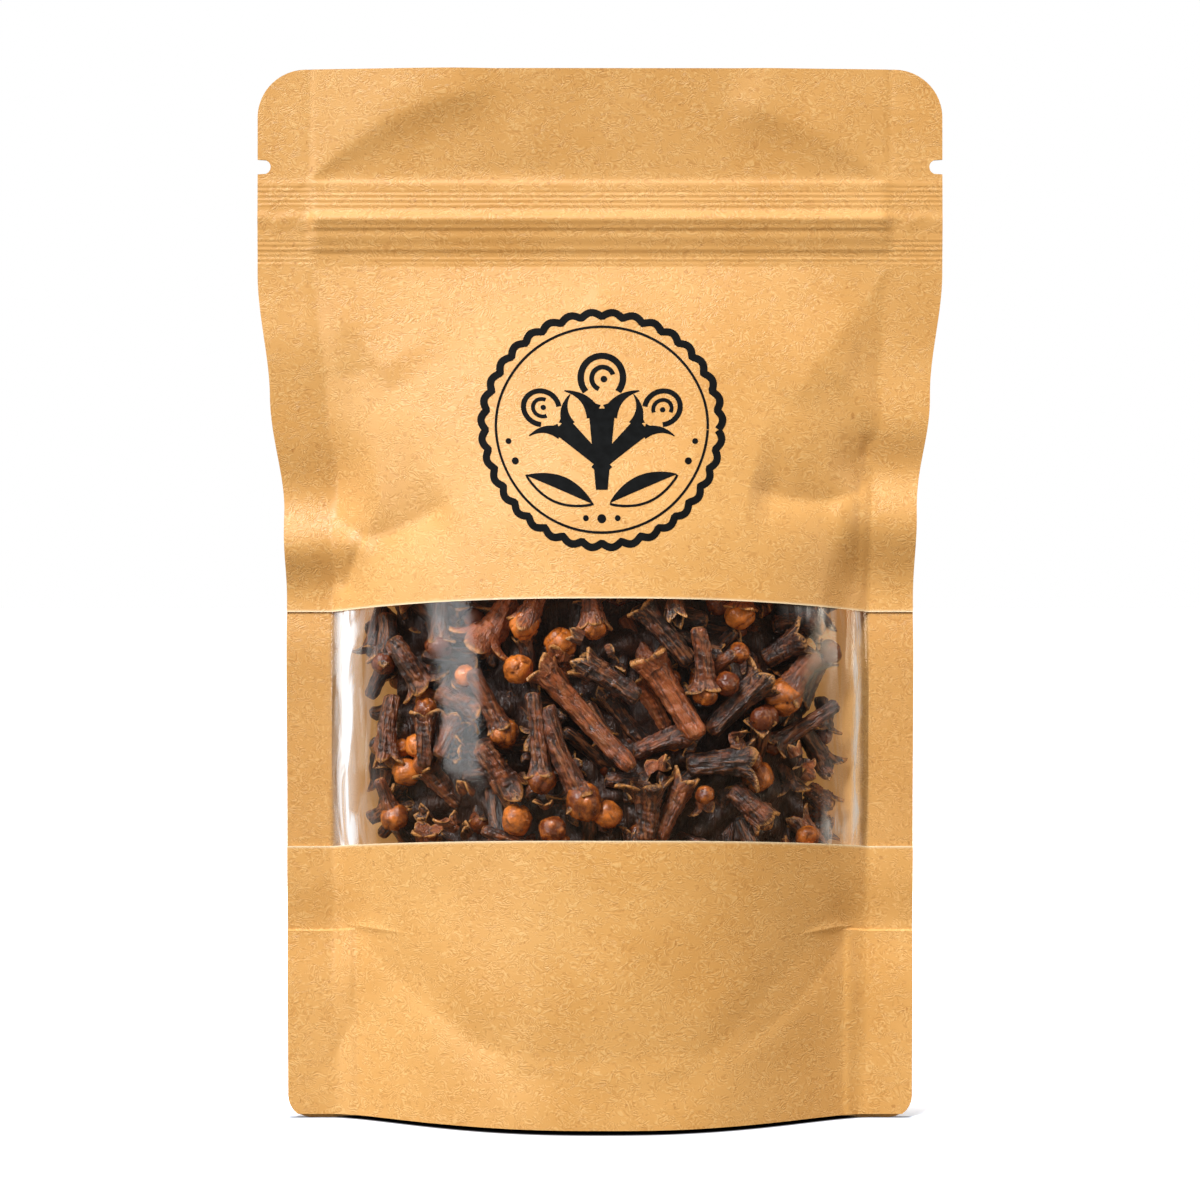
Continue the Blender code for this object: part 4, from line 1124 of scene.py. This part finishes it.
# %% Leading cloves
LEADING = (
    (5.0, 56.8, -8.7, 71.9, 1.86, 0, 0.62), (-10.8, 68.6, -9.3, 56.7, 1.48, 2.29, 0.30),
    (-8.1, 66.5, -3.2, 53.4, 1.60, 2.84, 0.35), (-20.2, 72.1, -15.9, 63.7, 1.45, 2.40, 0.42),
    (15.6, 61.6, 8.2, 73.1, 2.20, 0, 0.95), (3.8, 80.5, 7.9, 73.4, 1.50, 0, 0.85),
    (15.3, 78.8, 16.4, 69.8, 1.60, 2.08, 0.45), (17.2, 62.2, 24.9, 69.8, 2.00, 0, 0.10),
    (34.4, 74.5, 30.3, 69.3, 1.85, 3.20, 0.55), (38.0, 66.5, 28.4, 60.6, 1.40, 1.75, 0.30),
    (13.7, 57.1, 22.7, 57.8, 2.00, 1.75, 0.08), (5.4, 58.8, 12.6, 61.5, 1.60, 0, 0.40),
    (7.1, 45.5, 7.4, 52.6, 1.95, 0, 0.22), (9.0, 45.5, 12.6, 53.1, 1.60, 0, 0.60),
    (-18.8, 60.3, -14.7, 54.2, 1.95, 0, 0.30), (-6.6, 69.8, -6.3, 74.5, 1.80, 2.62, 0.60),
    (-1.4, 85.1, -1.1, 80.2, 1.60, 2.08, 0.60), (-8.7, 85.7, -11.2, 80.7, 1.60, 2.29, 0.75),
    (-14.2, 83.5, -18.6, 76.9, 2.35, 0, 0.80), (22.9, 85.1, 22.4, 82.4, 1.60, 2.46, 0.85),
    (26.2, 73.6, 30.9, 76.4, 1.80, 0, 0.15), (27.6, 79.1, 33.6, 79.4, 1.75, 0, 0.18),
    (14.2, 73.1, 7.1, 81.8, 1.85, 0, 0.12), (25.1, 79.1, 23.8, 72.3, 1.60, 0, 0.25),
    (6.0, 67.6, -1.4, 72.5, 1.85, 0, 0.10), (6.8, 60.5, 1.1, 68.2, 2.00, 0, 0.05),
    (0.8, 54.8, 6.6, 54.0, 1.50, 0, 0.12), (10.4, 62.7, 6.6, 69.8, 1.40, 0, 0.90),
    (20.8, 53.4, 25.4, 49.1, 1.85, 0, 0.30), (28.4, 60.0, 30.3, 53.4, 1.70, 0, 0.10),
    (33.3, 52.9, 36.1, 50.7, 1.60, 0, 0.30), (-27.6, 56.7, -27.6, 64.3, 1.60, 1.9, 0.25),
    (-25.7, 68.7, -20.2, 66.0, 1.60, 0, 0.35), (-33.0, 68.0, -34.0, 59.0, 1.55, 0, 0.35),
    (-33.0, 77.0, -28.5, 70.0, 1.75, 0, 0.25), (-17.0, 72.5, -15.5, 78.5, 1.35, 0, 0.20),
    (-22.0, 50.5, -27.0, 56.0, 1.55, 1.9, 0.30), (17.5, 46.5, 19.5, 52.5, 1.70, 0, 0.20),
)
LOOSE_BALLS = (
    (-21.4, 70.4, 1.75, 0.7), (11.0, 57.7, 2.4, 0.95), (3.3, 49.1, 2.3, 0.6), (-7.1, 48.2, 2.2, 0.25),
    (-15.3, 48.5, 2.6, 0.6), (-29.8, 67.4, 1.9, 0.85), (-28.4, 61.6, 2.1, 0.9), (-33.3, 55.1, 2.3, 0.7),
    (-30.9, 60.0, 1.5, 0.9), (26.0, 52.9, 2.6, 0.45), (27.9, 49.1, 2.1, 0.35), (31.7, 47.4, 2.0, 0.6),
    (14.5, 47.1, 2.3, 0.7), (-13.3, 70.9, 2.4, 0.7), (21.5, 66.0, 1.6, 0.7),
)


# %% Where things lie inside the pouch
def flat_place(x, z):
    """The (u, v) of the flat pouch that lies at x and z, by three steps of correction."""
    v, u = z * HEIGHT / STANDING_HEIGHT, x
    for _ in range(3):
        u = x / (1 - through(DRAWN_IN, v) / HALF_WIDTH)
        lifted = smooth((ZIP_FOOT - v) / (ZIP_FOOT - WINDOW_HIGH)) * smooth(v / WINDOW_LOW)
        v = (z - 2.2 * MM * lifted * belly(u)) * HEIGHT / STANDING_HEIGHT
    return u, v


def front_inside(x, z):
    """Y of the inner face of the front: the film's, or well behind the paper beyond it."""
    u, v = flat_place(x, z)
    paper_face = place_at(u, v, PAPER + 1.5 * MM - panel_depth(u, v, True))[..., 1]
    beyond = (v < WINDOW_LOW + 0.5 * MM) | (v > WINDOW_HIGH - 0.5 * MM)
    film_face = film_surface(u, v, FILM_BEHIND + FILM)[..., 1]
    return np.where(beyond, np.maximum(paper_face, film_face), film_face)


def back_inside(x, z):
    """Y of the back panel's inner face."""
    u, v = flat_place(x, z)
    return place_at(u, v, filled(u, v) + BACK_FIN - PAPER - 0.3 * MM)[..., 1]


GRID_X, GRID_Z, GRID_STEP = -50 * MM, 32 * MM, 0.5 * MM
grid_x, grid_z = GRID_X + np.arange(201)[:, None] * GRID_STEP, GRID_Z + np.arange(129)[None, :] * GRID_STEP
dented = back(*flat_place(grid_x, grid_z), PAPER)[..., 1]
faces_y = np.stack([front_inside(grid_x, grid_z), back_inside(grid_x, grid_z), dented])


def looked_up(which, x, z):
    """A face's y between the four nearest points of the grid worked out once."""
    i = np.clip((x - GRID_X) / GRID_STEP, 0, 199.999)
    k = np.clip((z - GRID_Z) / GRID_STEP, 0, 127.999)
    i0, k0 = i.astype(int), k.astype(int)
    i, k, table = i - i0, k - k0, faces_y[which]
    low = table[i0, k0] * (1 - i) + table[i0 + 1, k0] * i
    high = table[i0, k0 + 1] * (1 - i) + table[i0 + 1, k0 + 1] * i
    return low * (1 - k) + high * k


def chain(foot, axis, long, wide, ball):
    """Spheres along a clove: their centres [n, 3] and radii [n]."""
    t = np.linspace(0, 1, 7)
    centres = foot + axis * (long * t)[:, None]
    radii = wide * (0.80 + 0.25 * t)
    radii[0] *= 0.9
    radii[-1] = wide * 1.4
    if ball > 0:
        centres = np.vstack([centres, foot + axis * (long + 0.1 * wide + 0.62 * ball)])
        radii = np.append(radii, ball)
    return centres, radii


def push_back(centres, radii, laid, loose=0.9):
    """How far a chain moves in +y to clear the film and every sphere laid before it."""
    firm = np.where(np.arange(len(radii)) == 6, 1.3, 1.0)
    film_room = looked_up(0, centres[:, 0], centres[:, 2]) + radii * firm + 0.12 * MM - centres[:, 1]
    need = film_room.max()
    if len(laid[0]):
        gap = centres[:, None, [0, 2]] - laid[0][None, :, [0, 2]]
        reach = (loose * (radii[:, None] + laid[1][None])) ** 2 - (gap**2).sum(-1)
        hit = reach > 0
        if hit.any():
            behind = laid[0][None, :, 1] + np.sqrt(np.where(hit, reach, 0)) - centres[:, None, 1]
            need = max(need, behind[hit].max())
    return need


def room_behind(centres, radii):
    """What is left between a chain and the back panel."""
    return (looked_up(1, centres[:, 0], centres[:, 2]) - radii - centres[:, 1]).min()


# %% [markdown]
# Each clove that fits is kept as one row of numbers. The scatter takes the best of several
# tries, the one that lies nearest to the film, so holes fill from the front as they would
# when cloves settle against a window.

# %% Lay the cloves
draw = np.random.default_rng(11)
laid = (np.zeros((0, 3)), np.zeros(0))
kept = []


def try_clove(x0, z0, x1, z1, wide, ball, lean, loose=0.9):
    """A clove by its foot and top; gives its chain, pushed back, and its numbers."""
    flat = np.array([x1 - x0, z1 - z0]) * MM
    long = float(np.hypot(*flat))
    axis = np.array([flat[0] / long * math.cos(lean), -math.sin(lean), flat[1] / long * math.cos(lean)])
    long = long / math.cos(lean)
    foot = np.array([x0 * MM, 0.0, z0 * MM])
    centres, radii = chain(foot, axis, long, wide * MM, ball * MM)
    shift = np.array([0, push_back(centres, radii, laid, loose), 0])
    return centres + shift, radii, (foot + shift, axis, long, wide * MM, ball * MM)


def keep(made, tone, kind):
    """Adds a clove's spheres to what later ones must clear, and its numbers to the rows kept."""
    global laid
    laid = (np.vstack([laid[0], made[0]]), np.append(laid[1], made[1]))
    kept.append((*made[2], tone, kind))


for x0, z0, x1, z1, wide, ball, tone in LEADING:
    keep(try_clove(x0, z0, x1, z1, wide, ball, draw.uniform(-0.12, 0.16)), tone, "lead")
for x, z, ball, tone in LOOSE_BALLS:
    lean = math.radians(draw.uniform(20, 75))
    way = draw.uniform(0, 2 * math.pi)
    short = 1.2 * math.cos(lean)
    keep(try_clove(x, z, x + short * math.cos(way), z + short * math.sin(way), 1.3, ball, lean), tone, "ball")
print(len(kept), "laid by hand")

FULL_SIZE, TURNS, TRIES = 380, 1150, 10
for number in range(TURNS):
    large = number < FULL_SIZE
    kind = "fill" if large else ("fill", "ball", "ball", "chip")[number % 4]
    best = None
    for _ in range(TRIES):
        x, z = draw.uniform(-36.5, 36.5), draw.uniform(41, 87)
        long = draw.uniform(5.0, 9.5) if large else draw.uniform(2.5, 5)
        way = draw.uniform(0, 2 * math.pi)
        wide, ball = draw.uniform(1.05, 1.7), draw.uniform(1.5, 2.4) * (draw.random() < 0.52)
        lean = draw.uniform(-0.5, 0.7)
        if kind == "ball":
            long, ball, lean = 1.0, draw.uniform(1.4, 2.3), draw.uniform(0.2, 1.3)
        if kind == "chip":
            long, ball, wide = 1.4, 0, draw.uniform(0.9, 1.4)
        half = long / 2 * np.array([math.cos(way), math.sin(way)])
        made = try_clove(x - half[0], z - half[1], x + half[0], z + half[1], wide, ball, lean,
                         0.9 if large else 0.72)
        outside = made[0][:, 0].min() < -37.4 * MM or made[0][:, 0].max() > 36.8 * MM
        if outside or room_behind(made[0], made[1]) < 0:
            continue
        near = (made[0][:, 1] - looked_up(0, made[0][:, 0], made[0][:, 2])).mean()
        if best is None or near < best[0]:
            best = (near, made)
    if best is not None and best[0] < (11 if large else 6) * MM:
        # Painted shade: a scattered clove's tone is darker the deeper it lies behind the film.
        painted_depth_shade = np.clip(1.2 - best[0] / (6 * MM), 0.12, 1)
        keep(best[1], draw.beta(1.1, 1.0) * painted_depth_shade, kind)
print(len(kept), "cloves and loose balls in all")


# %% [markdown]
# ## The skin of a clove
#
# Dried cloves are near black to reddish brown, semi-matt, with fine wrinkles. The balls
# are a warmer orange brown and slightly shiny, and the tips of the sepals and the cut feet are
# golden, partly where the dark skin is worn off and partly as a painted rim highlight. The
# wrinkles carry a painted highlight on their crests and painted shade in their hollows, and the
# balls' seams painted shade. The `tone`, `ball` and `rim` values choose between these, and two
# noises vary them, so no two cloves look the same.

# %% Clove material
skin, tree, output, place = new_material("clove_skin")
tone, is_ball, rim = attribute(tree, "tone"), attribute(tree, "ball"), attribute(tree, "rim")
own = add(tree, "ShaderNodeAttribute", {"attribute_name": "own"}).outputs["Vector"]
broad, fine = noise(tree, own, 640, 3.0, 0.6), noise(tree, own, 1900, 4.0, 0.65)
wrinkle = noise(tree, stretched(tree, own, (1, 1, 0.13)), 1700, 3.0, 0.6, 0.4)
mixed = sums(tree, "ADD", sums(tree, "MULTIPLY", tone, 0.70), sums(
    tree, "MULTIPLY", sums(tree, "SUBTRACT", broad, 0.5), 1.5))
stem_colour = blend(tree, fade(tree, mixed, -0.05, 0.85), (0.018, 0.0060, 0.0044, 1), (0.42, 0.098, 0.021, 1))
ball_colour = blend(tree, fade(tree, mixed, 0.0, 0.75), (0.15, 0.028, 0.006, 1), (0.80, 0.225, 0.028, 1))
colour = blend(tree, is_ball, stem_colour, ball_colour)
# Painted highlight on the crests of the stems' wrinkles.
ridge_highlight = sums(tree, "MULTIPLY", fade(tree, wrinkle, 0.50, 0.62), sums(tree, "SUBTRACT", 1.0, is_ball))
colour = blend(tree, sums(tree, "MULTIPLY", ridge_highlight, 0.5), colour, (0.42, 0.15, 0.05, 1))
# Golden rims of the sepals and the cut feet: partly worn skin, partly a painted rim highlight.
ragged = sums(tree, "MULTIPLY", sums(tree, "SUBTRACT", fine, 0.5), 1.4)
worn = fade(tree, sums(tree, "ADD", rim, ragged), 0.62, 1.0)
colour = blend(tree, sums(tree, "MULTIPLY", worn, 0.85), colour, (0.68, 0.30, 0.075, 1))
flecks = fade(tree, fine, 0.66, 0.76)
colour = blend(tree, sums(tree, "MULTIPLY", flecks, 0.5), colour, (0.50, 0.20, 0.06, 1))
# Painted shade in the hollows of the wrinkles, weaker on the balls.
crease_shade = fade(tree, wrinkle, 0.48, 0.36)
colour = blend(tree, sums(tree, "MULTIPLY", crease_shade, sums(
    tree, "SUBTRACT", 0.60, sums(tree, "MULTIPLY", is_ball, 0.50))), colour, (0.010, 0.0035, 0.0025, 1))
# Painted shade in the balls' seams, and over the heap core, whose rim is -1.
seams = fade(tree, rim, -0.25, -0.9)
colour = blend(tree, sums(tree, "MULTIPLY", seams, 0.85), colour, (0.030, 0.008, 0.003, 1))
high = sums(tree, "ADD", sums(tree, "MULTIPLY", broad, 0.5), sums(tree, "MULTIPLY", fine, 0.30))
high = sums(tree, "ADD", high, sums(tree, "MULTIPLY", wrinkle, sums(
    tree, "SUBTRACT", 1.5, sums(tree, "MULTIPLY", is_ball, 1.3))))
relief = add(tree, "ShaderNodeBump", None, {"Strength": 1.0, "Distance": 0.0005, "Height": high})
rough = sums(tree, "SUBTRACT", fade(tree, fine, 0.3, 0.7, 0.28, 0.42), sums(tree, "MULTIPLY", is_ball, 0.14))
surface(tree, output, Base_Color=colour, Roughness=rough, Normal=relief.outputs[0],
        Specular_IOR_Level=0.8)


# %% Clove pieces
def gathered(rows_kept, seed):
    """Rows of numbers as the named arrays that the shape functions take."""
    draw = np.random.default_rng(seed)
    n = len(rows_kept)
    return {
        "foot": np.array([r[0] for r in rows_kept]), "axis": np.array([r[1] for r in rows_kept]),
        "long": np.array([r[2] for r in rows_kept]), "wide": np.array([r[3] for r in rows_kept]),
        "ball": np.array([max(r[4], 0.1 * MM) for r in rows_kept]),
        "tone": np.array([r[5] for r in rows_kept]),
        "phase": draw.uniform(0, 2 * math.pi, (n, 5)), "spin": draw.uniform(0, 2 * math.pi, n),
        "bow": draw.normal(0, 0.035, (n, 2)) @ np.array([[1, 0, 0], [0, 1, 0]]),
        "spread": draw.uniform(0.35, 1.15, n), "lobe": draw.uniform(0.8, 1.15, n),
    }


FINE, COARSE = (40, 34, 10, 12, 20, 34), (14, 14, 6, 8, 11, 18)
whole, headless = ("stem", "sepals", "ball"), ("stem", "sepals")
kinds = (
    ("leading_cloves", FINE, whole, [r for r in kept if r[6] == "lead" and r[4] > 0]),
    ("leading_stems", FINE, headless, [r for r in kept if r[6] == "lead" and r[4] == 0]),
    ("whole_cloves", COARSE, whole, [r for r in kept if r[6] == "fill" and r[4] > 0]),
    ("headless_cloves", COARSE, headless, [r for r in kept if r[6] == "fill" and r[4] == 0]),
    ("loose_buds", COARSE, ("ball",), [r for r in kept if r[6] == "ball"]),
    ("loose_sepals", COARSE, ("sepals",), [r for r in kept if r[6] == "chip"]),
)
for seed, (name, detail, built_of, members) in enumerate(kinds):
    print(len(members), "in", name)
    piece = clove_piece(name, gathered(members, seed), built_of, detail, skin)
    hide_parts("cloves")

# %% [markdown]
# ## The rest of the heap
#
# Only the cloves near the window are ever seen. The rest of the heap is one lumpy mass behind
# them, painted near black as the shade deep in a heap, so nobody can see through it. Its surface
# is a grid whose depth has bumps of the size of a clove.


# %% Heap core
def heap_side(u, v, deep, seed):
    """Bumps the size of a clove on a surface: a sum of short waves in random directions."""
    draw = np.random.default_rng(seed)
    lumps = np.zeros(np.broadcast(u, v).shape)
    for length in np.geomspace(4.5, 9, 12) * MM:
        way, start = draw.uniform(0, 2 * math.pi, 2)
        lumps = lumps + np.cos(2 * math.pi * (u * math.cos(way) + v * math.sin(way)) / length + start)
    return deep + 0.32 * MM * lumps


u = np.linspace(-35.5, 35.5, 120)[None, :] * MM
t = np.linspace(0, 1, 130)[:, None]
low = gusset_seal(u) + 3 * MM
v = low + t * (104 * MM - 9 * MM * (u / (36 * MM)) ** 2 - low)
shrink = np.minimum(1, filled(u, v) / (9 * MM))
near = place_at(u, v, heap_side(u, v, 7.5 * MM * shrink + 0.6 * MM, 1) - filled(u, v))
far = place_at(u, v, filled(u, v) - np.maximum(heap_side(u, v, 1.6 * MM, 2), 0.6 * MM))
dented = back(u, v, PAPER)[..., 1] - 0.2 * MM
near[..., 1] = np.minimum(near[..., 1], dented - 0.6 * MM)
far[..., 1] = np.clip(far[..., 1], near[..., 1] + 0.4 * MM, dented)
# Tone 0 and rim -1 paint the core near black, as painted shade.
values = {"tone": 0 * near[..., 0], "rim": 0 * near[..., 0] - 1, "ball": 0 * near[..., 0]}
core = sheet("heap_core", near, far, skin, values, sharp=80)
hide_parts("cloves")
